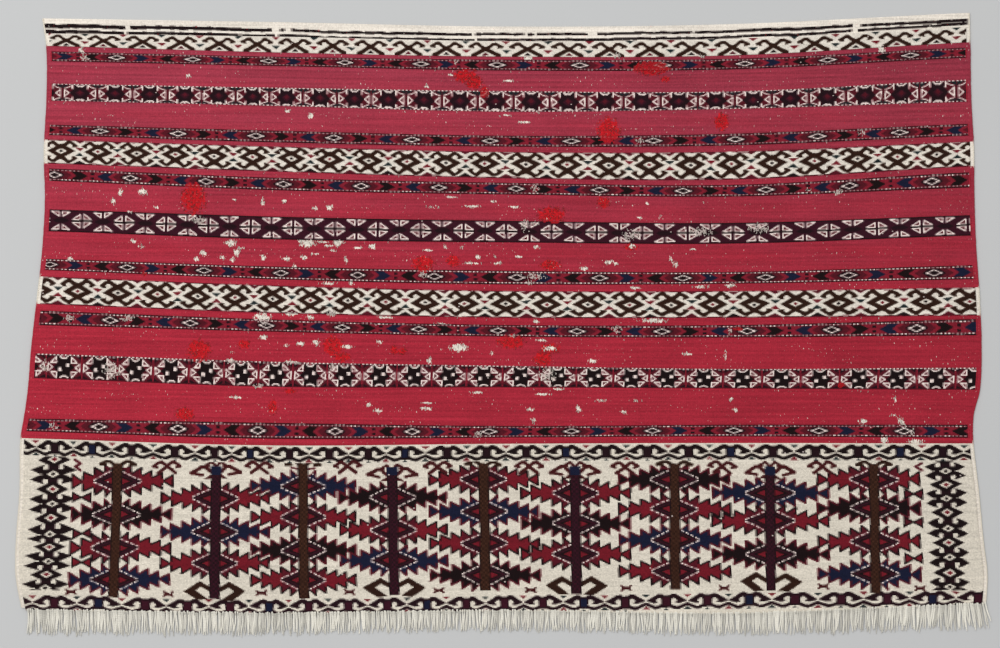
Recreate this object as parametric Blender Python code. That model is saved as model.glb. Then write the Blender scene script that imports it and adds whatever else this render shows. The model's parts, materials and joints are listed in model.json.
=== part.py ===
"""A woven storage bag face lying flat: one cloth with raised knotted bands, and its cut warp fringe.

X runs along the bands, +Y points to the plain top hem, and the underside lies on z = 0.
"""
import math

import bmesh
import bpy
from mathutils import Matrix, Vector

MM = 0.001

# Thickness of each kind of weave
HEM = 1.4 * MM
FLATWEAVE = 1.8 * MM
BAND_PILE = 3.2 * MM
PANEL_PILE = 3.8 * MM
PILE_RAMP = 1.5 * MM
SELVEDGE = 6.0 * MM

# Fineness of the cloth's upper face
CELLS_ACROSS = 24
MAX_ROW_STEP = 32.0 * MM

# Slow unevenness of the upper face
SWELL_HEIGHT = 0.15 * MM
SWELL_LENGTH_X = 170.0 * MM
SWELL_LENGTH_Y = 95.0 * MM

# Fringe of cut warp ends, left in locks of a few threads
LOCKS = 232
LOCK_WIDTH = 2.0 * MM
LOCK_HEIGHT = 1.3 * MM
TIP_TAPER = 0.6
STRIP_DEPTH = 2.5 * MM
STRIP_GAP = 0.3 * MM
FAN_LOCKS = 14
FAN_STEP = 0.55 * MM

# How far across the cloth the drops and fringe lengths below are read
STATIONS = (0.02, 0.26, 0.50, 0.74, 0.965)

# Each line across the cloth, from hem to fringe: its drop in mm below the hem's highest corner at the
# five stations, and the thickness of the weave that starts there
#    line                 left   mid_left  middle  mid_right  right   thickness
CROSS_LINES = (
    ("hem top",           (7.5,   12.0,    17.5,   14.5,      2.0),   HEM),
    ("scroll band",       (26.5,  30.5,    36.0,   33.0,      20.0),  BAND_PILE),
    ("red below scroll",  (42.5,  50.5,    55.5,   54.0,      39.5),  FLATWEAVE),
    ("thin band 1",       (49.5,  56.0,    59.5,   58.5,      46.0),  BAND_PILE),
    ("red 1",             (61.5,  67.5,    73.0,   71.5,      58.5),  FLATWEAVE),
    ("hook band",         (90.0,  95.0,    99.0,   99.5,      86.5),  BAND_PILE),
    ("red 2",             (111.5, 118.0,   125.0,  121.5,     113.5), FLATWEAVE),
    ("thin band 2",       (142.0, 149.5,   155.5,  153.0,     142.0), BAND_PILE),
    ("red 3",             (155.0, 164.0,   169.0,  167.5,     156.5), FLATWEAVE),
    ("cream band 1",      (161.0, 169.5,   176.0,  175.5,     164.5), BAND_PILE),
    ("red 4",             (191.0, 201.0,   209.0,  210.5,     196.0), FLATWEAVE),
    ("thin band 3",       (197.5, 209.0,   215.0,  217.5,     203.5), BAND_PILE),
    ("red 5",             (213.0, 224.5,   229.5,  232.0,     222.0), FLATWEAVE),
    ("diamond band",      (249.0, 258.0,   263.0,  265.5,     257.0), BAND_PILE),
    ("red 6",             (276.5, 286.5,   290.0,  291.5,     282.5), FLATWEAVE),
    ("thin band 4",       (311.5, 321.0,   326.0,  327.5,     320.0), BAND_PILE),
    ("red 7",             (325.5, 337.0,   343.0,  342.0,     337.0), FLATWEAVE),
    ("cream band 2",      (334.0, 345.0,   351.5,  351.5,     347.5), BAND_PILE),
    ("red 8",             (368.5, 379.5,   385.0,  385.0,     382.5), FLATWEAVE),
    ("thin band 5",       (377.0, 388.0,   394.5,  394.5,     388.0), BAND_PILE),
    ("red 9",             (395.0, 403.0,   409.0,  410.0,     407.5), FLATWEAVE),
    ("star band",         (431.0, 441.0,   446.0,  450.0,     448.5), BAND_PILE),
    ("red 10",            (462.0, 472.5,   473.0,  474.5,     476.0), FLATWEAVE),
    ("thin band 6",       (513.0, 518.0,   522.0,  520.5,     520.5), BAND_PILE),
    ("red 11",            (529.0, 538.0,   536.5,  535.0,     536.5), FLATWEAVE),
    ("tree panel",        (538.0, 546.5,   544.5,  543.5,     544.0), PANEL_PILE),
    ("fringe root",       (752.0, 754.5,   755.5,  756.0,     748.0), PANEL_PILE),
)

# Length in mm of the fringe at the five stations
FRINGE_LENGTH = (30.0, 27.0, 25.0, 27.0, 31.0)

# The two side edges: at each drop, the left and right edge's place in mm from the middle line
#    drop    left     right
SIDE_EDGES = (
    (0.0,    -579.5,  591.5),
    (47.0,   -573.0,  592.5),
    (110.0,  -573.0,  593.5),
    (173.0,  -576.5,  597.0),
    (236.0,  -575.0,  597.5),
    (300.0,  -578.5,  600.0),
    (363.0,  -585.5,  604.5),
    (426.0,  -592.5,  606.5),
    (476.0,  -596.5,  604.5),
    (508.0,  -601.0,  596.5),
    (540.0,  -606.0,  596.0),
    (603.0,  -607.0,  603.0),
    (666.0,  -611.5,  609.0),
    (710.0,  -612.0,  614.0),
    (756.0,  -604.0,  611.5),
)

# Colour, roughness
MATERIALS = {
    "face_cloth": ((0.42, 0.05, 0.08, 1.0), 0.95),
    "warp_fringe": ((0.72, 0.66, 0.52, 1.0), 0.95),
}


def clear_scene():
    for obj in list(bpy.data.objects):
        bpy.data.objects.remove(obj, do_unlink=True)


def smooth_read(places, values, at):
    """Value at a place on a smooth curve through a table's values, straight beyond its ends."""
    last = len(places) - 1
    slopes = []
    for i in range(last + 1):
        lo, hi = max(i - 1, 0), min(i + 1, last)
        slopes.append((values[hi] - values[lo]) / (places[hi] - places[lo]))
    if at <= places[0]:
        return values[0] + slopes[0] * (at - places[0])
    if at >= places[last]:
        return values[last] + slopes[last] * (at - places[last])
    i = max(k for k in range(last) if places[k] <= at)
    span = places[i + 1] - places[i]
    t = (at - places[i]) / span
    return ((2 * t ** 3 - 3 * t ** 2 + 1) * values[i]
            + (t ** 3 - 2 * t ** 2 + t) * span * slopes[i]
            + (3 * t ** 2 - 2 * t ** 3) * values[i + 1]
            + (t ** 3 - t ** 2) * span * slopes[i + 1])


def side_x(drop, side):
    """Place of the left (side 1) or right (side 2) edge at a drop in metres."""
    drops = [row[0] for row in SIDE_EDGES]
    edge = [row[side] for row in SIDE_EDGES]
    return smooth_read(drops, edge, drop / MM) * MM


def cloth_point(drops, across):
    """Point of the cloth's plan on the line with these five drops, at a fraction across."""
    left = side_x(smooth_read(STATIONS, drops, 0.0) * MM, 1)
    right = side_x(smooth_read(STATIONS, drops, 1.0) * MM, 2)
    return Vector((left + (right - left) * across, -smooth_read(STATIONS, drops, across) * MM, 0.0))


def row_plan():
    """Rows of the upper face, from hem to fringe: the five drops and the thickness there."""
    rows = []
    for (_, drops, thick), (_, next_drops, _) in zip(CROSS_LINES, CROSS_LINES[1:]):
        start = drops
        if rows and rows[-1][1] != thick:
            start = tuple(d + PILE_RAMP / MM for d in drops)
        rows.append((start, thick))
        middle = len(drops) // 2
        steps = math.ceil((next_drops[middle] - start[middle]) * MM / MAX_ROW_STEP)
        for k in range(1, steps):
            rows.append((tuple(a + (b - a) * k / steps for a, b in zip(start, next_drops)), thick))
        rows.append((next_drops, thick))
    return rows


def column_plan():
    """Fractions across the cloth, with both selvedges and the pile's ramps as columns of their own."""
    width = (SIDE_EDGES[-1][2] - SIDE_EDGES[-1][1]) * MM
    selvedge = SELVEDGE / width
    ramp = PILE_RAMP / width
    inner = [selvedge + ramp + (1 - 2 * selvedge - 2 * ramp) * k / CELLS_ACROSS
             for k in range(CELLS_ACROSS + 1)]
    return [0.0, selvedge] + inner + [1 - selvedge, 1.0]


def swell(x, y):
    return SWELL_HEIGHT * (math.sin(x / SWELL_LENGTH_X * math.tau) * math.cos(y / SWELL_LENGTH_Y * math.tau))


def new_object(name, bm, collection):
    """A named object from a bmesh, with its own material."""
    bmesh.ops.recalc_face_normals(bm, faces=bm.faces)
    mesh = bpy.data.meshes.new(name)
    bm.to_mesh(mesh)
    bm.free()
    colour, rough = MATERIALS[name]
    material = bpy.data.materials.new(name)
    material.use_nodes = True
    shader = material.node_tree.nodes["Principled BSDF"]
    shader.inputs["Base Color"].default_value = colour
    shader.inputs["Roughness"].default_value = rough
    shader.inputs["Metallic"].default_value = 0.0
    mesh.materials.append(material)
    obj = bpy.data.objects.new(name, mesh)
    collection.objects.link(obj)
    return obj


def face_cloth(collection):
    """The cloth: a grid on its woven rows, raised where it is knotted, closed by a flat underside."""
    rows = row_plan()
    columns = column_plan()
    last_row, last_column = len(rows) - 1, len(columns) - 1
    bm = bmesh.new()
    bmesh.ops.create_grid(bm, x_segments=last_column, y_segments=last_row, size=1.0)
    top = list(bm.faces)
    for vert in bm.verts:
        column = round((vert.co.x + 1) / 2 * last_column)
        drops, thick = rows[round((1 - vert.co.y) / 2 * last_row)]
        point = cloth_point(drops, columns[column])
        on_selvedge = column < 2 or column > last_column - 2
        height = min(thick, FLATWEAVE) if on_selvedge else thick
        vert.co = (point.x, point.y, height + swell(point.x, point.y))
    extruded = bmesh.ops.extrude_face_region(bm, geom=top)["geom"]
    under = [item for item in extruded if isinstance(item, bmesh.types.BMFace)]
    for vert in {vert for face in under for vert in face.verts}:
        vert.co.z = 0.0
    bmesh.ops.dissolve_faces(bm, faces=under, use_verts=False)
    return new_object("face_cloth", bm, collection)


def root_line():
    """The cloth's bottom edge, as the straight runs between its columns."""
    drops = CROSS_LINES[-1][1]
    return [cloth_point(drops, across) for across in column_plan()]


def along(points, across):
    """Point on straight runs between points, at a fraction of their width."""
    x = points[0].x + (points[-1].x - points[0].x) * across
    k = max(i for i in range(len(points) - 1) if points[i].x <= x)
    t = (x - points[k].x) / (points[k + 1].x - points[k].x)
    return points[k].lerp(points[k + 1], t)


def lock_lean(index):
    """How far a lock's tip leans sideways: slow waves, and a fan at both corners."""
    lean = 1.6 * math.sin(index * 0.31) + 0.7 * math.sin(index * 0.83 + 1.0)
    fan = max(index - (LOCKS - 1 - FAN_LOCKS), 0) - 0.6 * max(FAN_LOCKS - index, 0)
    return lean * MM + fan * FAN_STEP


def lock_length(index):
    across = (index + 0.5) / LOCKS
    ragged = 1 + 0.06 * math.sin(index * 2.3) + 0.04 * math.sin(index * 5.1)
    return smooth_read(STATIONS, FRINGE_LENGTH, across) * MM * ragged - STRIP_DEPTH


def strip_fractions():
    """Fractions across the strip where its front changes between bare strip and a lock's root."""
    width = (SIDE_EDGES[-1][2] - SIDE_EDGES[-1][1]) * MM
    half = LOCK_WIDTH / 2 / width
    fractions = [0.0]
    for i in range(LOCKS):
        middle = (i + 0.5) / LOCKS
        fractions += [middle - half, middle + half]
    return fractions + [1.0]


def warp_fringe(collection):
    """The fringe: a narrow strip along the cloth's edge, with every lock drawn out of its front."""
    line = root_line()
    fractions = strip_fractions()
    last = len(fractions) - 1
    bm = bmesh.new()
    bmesh.ops.create_grid(bm, x_segments=last, y_segments=1, size=1.0)
    for vert in bm.verts:
        point = along(line, fractions[round((vert.co.x + 1) / 2 * last)])
        front = vert.co.y < 0
        point.y -= STRIP_GAP + (STRIP_DEPTH if front else 0.0)
        vert.co = (point.x, point.y, LOCK_HEIGHT)
    extruded = bmesh.ops.extrude_face_region(bm, geom=list(bm.faces))["geom"]
    for vert in [item for item in extruded if isinstance(item, bmesh.types.BMVert)]:
        vert.co.z = 0.0
    bmesh.ops.recalc_face_normals(bm, faces=bm.faces)
    fronts = [face for face in bm.faces if face.normal.y < -0.5]
    fronts.sort(key=lambda face: face.calc_center_median().x)
    draw_out_locks(bm, fronts[1::2])
    return new_object("warp_fringe", bm, collection)


def draw_out_locks(bm, roots):
    """Draw each root face out in two steps that lean, taper and stay level on the floor."""
    for part_way in (0.5, 1.0):
        drawn = bmesh.ops.extrude_discrete_faces(bm, faces=roots)["faces"]
        drawn.sort(key=lambda face: face.calc_center_median().x)
        for index, face in enumerate(drawn):
            middle = face.calc_center_median().x
            shift = Vector((lock_lean(index) * part_way ** 2, 0.0, 0.0))
            if part_way == 1.0:
                shift.x -= lock_lean(index) * 0.25
            for vert in face.verts:
                taper = TIP_TAPER if part_way == 1.0 else 1.0
                vert.co.x = middle + (vert.co.x - middle) * taper + shift.x
                vert.co.y -= lock_length(index) / 2
                vert.co.z *= taper
        roots = drawn


def centre_on_origin(objects):
    """Place the objects so that the middle of their joint bounding box stands on the origin."""
    points = [vert.co for obj in objects for vert in obj.data.vertices]
    middle_x = (min(p.x for p in points) + max(p.x for p in points)) / 2
    middle_y = (min(p.y for p in points) + max(p.y for p in points)) / 2
    for obj in objects:
        obj.data.transform(Matrix.Translation((-middle_x, -middle_y, 0.0)))


def main():
    clear_scene()
    collection = bpy.data.collections.new("storage_bag_face")
    bpy.context.scene.collection.children.link(collection)
    centre_on_origin([face_cloth(collection), warp_fringe(collection)])


main()
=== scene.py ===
"""Looks of a woven storage bag face: flat woven ground, knotted bands, tree panel, fringe and wear.

Every knot of the raised weaves is a small face of a mesh. The charts below say in which yarn each knot is
tied: a chart places the middles of its repeats across the band and lays the motif's strokes and areas in
half repeats and parts of the band's height. All drops are measured in mm down from the hem's highest
corner, and all places across in mm from the middle line, as the cloth lies.
"""

import json
import math

import bpy
import numpy as np
from bpy.props import FloatProperty, FloatVectorProperty, IntProperty, PointerProperty
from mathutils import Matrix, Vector

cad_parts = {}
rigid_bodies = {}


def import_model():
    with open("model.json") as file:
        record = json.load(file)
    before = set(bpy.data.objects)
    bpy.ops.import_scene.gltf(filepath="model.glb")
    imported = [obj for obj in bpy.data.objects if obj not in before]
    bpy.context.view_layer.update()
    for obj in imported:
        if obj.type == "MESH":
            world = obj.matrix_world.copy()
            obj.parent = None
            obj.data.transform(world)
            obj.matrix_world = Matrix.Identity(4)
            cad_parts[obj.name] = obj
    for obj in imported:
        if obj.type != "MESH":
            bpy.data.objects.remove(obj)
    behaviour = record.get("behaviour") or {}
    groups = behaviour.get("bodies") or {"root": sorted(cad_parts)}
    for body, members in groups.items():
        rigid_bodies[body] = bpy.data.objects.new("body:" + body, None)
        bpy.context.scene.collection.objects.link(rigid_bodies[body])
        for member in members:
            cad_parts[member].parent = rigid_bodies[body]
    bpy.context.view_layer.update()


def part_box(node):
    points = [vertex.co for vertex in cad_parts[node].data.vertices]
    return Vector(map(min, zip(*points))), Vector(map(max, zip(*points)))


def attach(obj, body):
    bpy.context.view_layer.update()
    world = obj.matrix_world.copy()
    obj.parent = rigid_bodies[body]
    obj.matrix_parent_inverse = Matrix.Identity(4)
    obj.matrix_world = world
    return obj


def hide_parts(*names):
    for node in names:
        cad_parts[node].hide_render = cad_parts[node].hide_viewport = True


bl_info = {
    "name": "Storage bag face",
    "version": (1, 0, 0),
    "blender": (4, 5, 0),
    "location": "3D View > Sidebar > Bag face",
    "description": "Builds a flat woven storage bag face with knotted bands, a tree panel and a fringe",
    "category": "Object",
}

MM = 0.001
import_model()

# Cloth lines, as the solids have them

# How far across the cloth the drops and fringe lengths below are read
STATIONS = (0.02, 0.26, 0.50, 0.74, 0.965)

# Drop of each line across the cloth at the five stations
CROSS_LINES = {
    "hem top":          (7.5,   12.0,    17.5,   14.5,      2.0),
    "scroll band":      (26.5,  30.5,    36.0,   33.0,      20.0),
    "red below scroll": (42.5,  50.5,    55.5,   54.0,      39.5),
    "thin band 1":      (49.5,  56.0,    59.5,   58.5,      46.0),
    "red 1":            (61.5,  67.5,    73.0,   71.5,      58.5),
    "hook band":        (90.0,  95.0,    99.0,   99.5,      86.5),
    "red 2":            (111.5, 118.0,   125.0,  121.5,     113.5),
    "thin band 2":      (142.0, 149.5,   155.5,  153.0,     142.0),
    "red 3":            (155.0, 164.0,   169.0,  167.5,     156.5),
    "cream band 1":     (161.0, 169.5,   176.0,  175.5,     164.5),
    "red 4":            (191.0, 201.0,   209.0,  210.5,     196.0),
    "thin band 3":      (197.5, 209.0,   215.0,  217.5,     203.5),
    "red 5":            (213.0, 224.5,   229.5,  232.0,     222.0),
    "diamond band":     (249.0, 258.0,   263.0,  265.5,     257.0),
    "red 6":            (276.5, 286.5,   290.0,  291.5,     282.5),
    "thin band 4":      (311.5, 321.0,   326.0,  327.5,     320.0),
    "red 7":            (325.5, 337.0,   343.0,  342.0,     337.0),
    "cream band 2":     (334.0, 345.0,   351.5,  351.5,     347.5),
    "red 8":            (368.5, 379.5,   385.0,  385.0,     382.5),
    "thin band 5":      (377.0, 388.0,   394.5,  394.5,     388.0),
    "red 9":            (395.0, 403.0,   409.0,  410.0,     407.5),
    "star band":        (431.0, 441.0,   446.0,  450.0,     448.5),
    "red 10":           (462.0, 472.5,   473.0,  474.5,     476.0),
    "thin band 6":      (513.0, 518.0,   522.0,  520.5,     520.5),
    "red 11":           (529.0, 538.0,   536.5,  535.0,     536.5),
    "tree panel":       (538.0, 546.5,   544.5,  543.5,     544.0),
    "fringe root":      (752.0, 754.5,   755.5,  756.0,     748.0),
}

# Length of the fringe at the five stations
FRINGE_LENGTH = (30.0, 27.0, 25.0, 27.0, 31.0)

# The two side edges: drop, left edge, right edge
SIDE_EDGES = (
    (0.0,    -579.5,  591.5),
    (47.0,   -573.0,  592.5),
    (110.0,  -573.0,  593.5),
    (173.0,  -576.5,  597.0),
    (236.0,  -575.0,  597.5),
    (300.0,  -578.5,  600.0),
    (363.0,  -585.5,  604.5),
    (426.0,  -592.5,  606.5),
    (476.0,  -596.5,  604.5),
    (508.0,  -601.0,  596.5),
    (540.0,  -606.0,  596.0),
    (603.0,  -607.0,  603.0),
    (666.0,  -611.5,  609.0),
    (710.0,  -612.0,  614.0),
    (756.0,  -604.0,  611.5),
)

# Slow unevenness of the cloth's upper face
SWELL_HEIGHT = 0.15
SWELL_LENGTH_X = 170.0
SWELL_LENGTH_Y = 95.0

# Mean width of the cloth, from which the knots in a row are counted, and how far down it reaches
CLOTH_WIDTH = 1195.0
CLOTH_HEIGHT = 760.0

# Middle of the photograph on the cloth, and the width that it shows
VIEW_X = -0.95
VIEW_DROP = 393.2
VIEW_WIDTH = 1263.0

# Yarns, by number
YARN_NAMES = ("cream", "ivory", "white", "brown", "aubergine", "plum", "maroon", "navy", "green", "black",
              "red", "deep_red", "rose", "ground_red", "mend_red", "faded_red", "bark", "russet")
(CREAM, IVORY, WHITE, BROWN, AUBERGINE, PLUM, MAROON, NAVY, GREEN, BLACK,
 RED, DEEP_RED, ROSE, GROUND_RED, MEND_RED, FADED_RED, BARK, RUSSET) = range(18)


def screen(*shade):
    """Linear colour of a shade given as it looks on a screen, from 0 to 255."""
    parts = [value / 255 for value in shade]
    return tuple(((part + 0.055) / 1.055) ** 2.4 if part > 0.04 else part / 12.92 for part in parts)


def colour(name, description, shade):
    """Colour property with a default given as a screen shade."""
    return FloatVectorProperty(name=name, description=description, subtype="COLOR", size=3, min=0.0, max=1.0,
                               default=screen(*shade))


def length(name, description, default):
    """Length property with a default given in mm."""
    return FloatProperty(name=name, description=description, subtype="DISTANCE", unit="LENGTH", min=0.0,
                         default=default * MM, precision=4)


class ClothSizes(bpy.types.PropertyGroup):
    """Thicknesses of the cloth and sizes of its knots"""
    flatweave: length("Flat weave", "Thickness of the flat woven ground", 1.8)
    hem: length("Hem", "Thickness of the plain top hem", 1.4)
    ground_cell: length("Ground cell", "Width of the cells in which the flat weave is shaded", 3.0)
    band_pile: length("Band pile", "Height of the knotted bands above the floor", 3.2)
    panel_pile: length("Panel pile", "Height of the knotted tree panel above the floor", 3.8)
    band_knot_width: length("Band knot width", "Width of one knot in the bands", 1.6)
    band_knot_height: length("Band knot height", "Height of one row of knots in the bands", 1.25)
    panel_knot_width: length("Panel knot width", "Width of one knot in the tree panel", 1.9)
    panel_knot_height: length("Panel knot height", "Height of one row of knots in the tree panel", 1.47)
    pile_unevenness: length("Pile unevenness", "How far single knots stand above or below their row", 0.12)


class YarnColours(bpy.types.PropertyGroup):
    """Colour of each yarn, by the names in YARN_NAMES"""
    cream: colour("Cream", "Undyed wool of the hem and the cream bands", (235, 226, 213))
    ivory: colour("Ivory", "Undyed wool of the tree panel's ground", (227, 218, 202))
    white: colour("White", "Pale outlines and dots in the dark bands", (244, 226, 218))
    brown: colour("Brown", "Dark brown wool of the scrolls and hooks", (46, 24, 15))
    aubergine: colour("Aubergine", "Darkest purple wool, also the star band's ground", (34, 13, 20))
    plum: colour("Plum", "Purple red ground of the hook and diamond bands", (56, 16, 30))
    maroon: colour("Maroon", "Dark red wool of outlines and dotted rows", (86, 20, 32))
    navy: colour("Navy", "Indigo blue wool", (22, 26, 50))
    green: colour("Green", "Blackish green wool of small triangles", (28, 38, 40))
    black: colour("Black", "Brown black wool of outlines", (24, 11, 13))
    red: colour("Red", "Madder red wool of the knotted pile", (116, 24, 36))
    deep_red: colour("Deep red", "Ground of the thin bands", (132, 29, 45))
    rose: colour("Rose", "Pink wool inside small triangles", (170, 80, 88))
    ground_red: colour("Ground red", "Flat woven ground near the tree panel", (172, 41, 58))
    mend_red: colour("Mend red", "Bright wool of the later mends", (188, 26, 34))
    faded_red: colour("Faded red", "Flat woven ground near the hem", (162, 56, 74))
    bark: colour("Bark", "Olive brown checks in the stems of the tall trees", (66, 38, 26))
    russet: colour("Russet", "Brownish red wool of the caps and crosses", (68, 20, 22))


class FringeSizes(bpy.types.PropertyGroup):
    """Number, sizes and colour of the fringe's strands"""
    strands: IntProperty(name="Strands", description="Number of warp strands in the fringe", default=860,
                         min=10)
    radius: length("Strand radius", "Radius of a strand at its root", 1.0)
    lean: length("Lean", "How far a strand's tip wanders sideways", 2.4)
    yarn: colour("Warp yarn", "Undyed warp yarn of the fringe", (240, 236, 224))


class WearSizes(bpy.types.PropertyGroup):
    """How thickly the worn spots and the mends are strewn, and with how long ends"""
    ends_each_cm: FloatProperty(name="Ends", description="Bare warp ends on a square centimetre of wear",
                                default=12.0, min=0.0)
    end_length: length("End length", "Length of a bare warp end", 2.3)
    tufts_each_cm: FloatProperty(name="Tufts", description="Tufts on a square centimetre of a mend",
                                 default=10.0, min=0.0)
    tuft_length: length("Tuft length", "Length of a tuft on a mend", 2.0)


# Motif charts

def repeat_number(x, places):
    """Number of the repeat at each place across, on straight runs through a table of (number, mm)."""
    numbers = np.array([row[0] for row in places], float)
    middles = np.array([row[1] for row in places], float)
    number = np.interp(x, middles, numbers)
    first = (numbers[1] - numbers[0]) / (middles[1] - middles[0])
    last = (numbers[-1] - numbers[-2]) / (middles[-1] - middles[-2])
    number = np.where(x < middles[0], numbers[0] + (x - middles[0]) * first, number)
    return np.where(x > middles[-1], numbers[-1] + (x - middles[-1]) * last, number)


class Chart:
    """Knots of a piece: where each lies in its repeat, and which yarn it is tied in."""

    def __init__(self, x, y, yarn):
        self.x, self.y = x, y
        self.yarn = np.full(x.shape, yarn)

    def patch(self, corners, yarn, only=True):
        """Fill a shape given by its corners."""
        inside = np.zeros(self.x.shape, bool)
        for (x0, y0), (x1, y1) in zip(corners, corners[1:] + corners[:1]):
            if y0 != y1:
                crossing = (x1 - x0) * (self.y - y0) / (y1 - y0) + x0
                inside ^= ((y0 > self.y) != (y1 > self.y)) & (self.x < crossing)
        self.yarn[inside & only] = yarn

    def stroke(self, points, width, yarn, only=True):
        """Lay a line along straight runs between points."""
        near = np.full(self.x.shape, np.inf)
        for (x0, y0), (x1, y1) in zip(points, points[1:]):
            run_x, run_y = x1 - x0, y1 - y0
            along = np.clip(((self.x - x0) * run_x + (self.y - y0) * run_y) / (run_x ** 2 + run_y ** 2), 0, 1)
            near = np.minimum(near, np.hypot(self.x - x0 - along * run_x, self.y - y0 - along * run_y))
        self.yarn[(near < width / 2) & only] = yarn

    def diamond(self, y, half_width, half_height, yarn):
        """Fill a diamond about the repeat's middle at a height."""
        self.yarn[self.x / half_width + np.abs(self.y - y) / half_height < 1] = yarn

    def fill(self, mask, yarn):
        """Fill the knots that a mask picks."""
        self.yarn[mask] = yarn


class Band(Chart):
    """Chart of a band: x is mm from the middle of its repeat, folded; y is mm below its upper edge."""

    def __init__(self, x, v, height, places, yarn):
        number = repeat_number(x, places)
        self.number = np.round(number).astype(int)
        self.gap = np.floor(number).astype(int)
        self.half = (places[-1][1] - places[0][1]) / (places[-1][0] - places[0][0]) / 2
        self.side = np.sign(number - self.number)
        self.height = height
        self.place = x
        super().__init__(np.abs(number - self.number) * 2 * self.half, v * height, yarn)

    def shape(self, points):
        """Points given in half repeats and parts of the height, in mm."""
        return [(a * self.half, v * self.height) for a, v in points]

    def area(self, corners, yarn, only=True):
        """Fill a shape given in half repeats and parts of the height."""
        self.patch(self.shape(corners), yarn, only)

    def line(self, points, width, yarn, only=True):
        """Lay a line given in half repeats and parts of the height."""
        self.stroke(self.shape(points), width, yarn, only)

    def outlined(self, corners, width, outline, inside):
        """Fill a shape and lay a line of another yarn along its rim."""
        self.area(corners, inside)
        self.line(corners + corners[:1], width, outline)

    def rows(self, start, end, yarn, only=True):
        """Fill whole rows of knots."""
        v = self.y / self.height
        self.yarn[(v >= start) & (v < end) & only] = yarn

    def dots(self, start, end, pitch=5.0):
        """A row of pairs of knots, light and dark in turn."""
        self.rows(start, end, WHITE, (self.place / pitch) % 1 < 0.5)


# Knotted bands

def scroll_chart(band):
    """Half of a hooked cross below the hem."""
    odd = band.gap % 2 == 1
    band.area([(0, .42), (.20, .27), (.36, .13), (.52, .13), (.68, .23), (.90, .36), (.72, .48), (.55, .50),
               (.60, .37), (.50, .31), (.40, .31), (.22, .48), (.10, .60), (0, .64)], BROWN)
    band.line([(0, .48), (.20, .37), (.36, .19), (.50, .19), (.66, .30), (.80, .38)], 3.3, BROWN)
    band.line([(0, .52), (.22, .67), (.44, .84), (.64, .95)], 4.8, BROWN)
    band.area([(0, .74), (.18, .94), (0, .94)], BLACK, band.number % 2 == 0)
    band.area([(0, .74), (.18, .94), (0, .94)], MAROON, band.number % 2 == 1)
    for yarn, other, only in ((GREEN, RED, ~odd), (RED, GREEN, odd)):
        band.area([(.78, .01), (1, .01), (1, .20)], yarn, only)
        band.area([(.76, .58), (1, .58), (1, .80)], other, only)


def thin_chart(band, right, left):
    """Thin band: pale outlined diamonds, arrowheads that point at small dark blocks, and dotted rows."""
    band.area([(0, .17), (.30, .17), (.46, .5), (.30, .83), (0, .83)], MAROON)
    for yarn, only in ((right, band.side > 0), (left, band.side <= 0)):
        band.area([(.44, .18), (.68, .18), (.87, .5), (.68, .82), (.44, .82), (.58, .5)], yarn, only)
    for top, bottom in ((.24, .42), (.58, .76)):
        band.area([(.955, top), (1, top), (1, bottom), (.955, bottom)], AUBERGINE)
    band.area([(0, .17), (.14, .20), (.28, .5), (.14, .80), (0, .83)], AUBERGINE)
    band.line([(0, .28), (.07, .36), (.12, .44), (.20, .5)], 1.1, WHITE)
    band.line([(0, .72), (.07, .64), (.12, .56), (.20, .5)], 1.1, WHITE)
    band.area([(0, .40), (.07, .5), (0, .60)], BLACK)
    band.rows(0, .055, BLACK)
    band.rows(.055, .18, MAROON)
    band.dots(.07, .135)
    band.rows(.82, .94, MAROON)
    band.dots(.86, .925)
    band.rows(.94, 1.01, BLACK)


def hook_chart(band):
    """Dark stars with white corners, and a white eye on each side of a red line."""
    band.area([(.36, .06), (1, .06), (1, .94), (.36, .94)], MAROON)
    band.area([(.62, .06), (1, .06), (1, .26)], GREEN)
    band.area([(.62, .94), (1, .94), (1, .80)], GREEN)
    band.area([(0, .03), (.37, .03), (.37, .32), (.60, .53), (.37, .74), (.37, .98), (0, .98)], AUBERGINE)
    band.diamond(.53 * band.height, 6.6, 5.6, PLUM)
    band.diamond(.50 * band.height, 3.4, 3.4, MAROON)
    band.line([(0, .12), (.10, .14), (.22, .06)], 2.0, WHITE)
    band.line([(0, .92), (.10, .90), (.22, .97)], 2.0, WHITE)
    for near, far in ((.05, .31), (.98, .75)):
        band.area([(.39, near), (.50, near), (.47, far), (.39, far)], WHITE)
    band.line([(.48, .10), (.66, .20), (.88, .25)], 1.2, WHITE)
    band.line([(.48, .94), (.66, .86), (.88, .80)], 1.2, WHITE)
    band.outlined([(.62, .53), (.88, .33), (.88, .73)], 1.7, WHITE, MAROON)
    band.area([(.86, .36), (.92, .36), (.92, .70), (.86, .70)], WHITE)
    band.area([(.97, .08), (1, .08), (1, .96), (.97, .96)], MAROON)
    band.rows(0, .05, MAROON)
    band.dots(.0, .05)
    band.rows(.96, 1.01, MAROON)
    band.dots(.96, 1.01)


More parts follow.
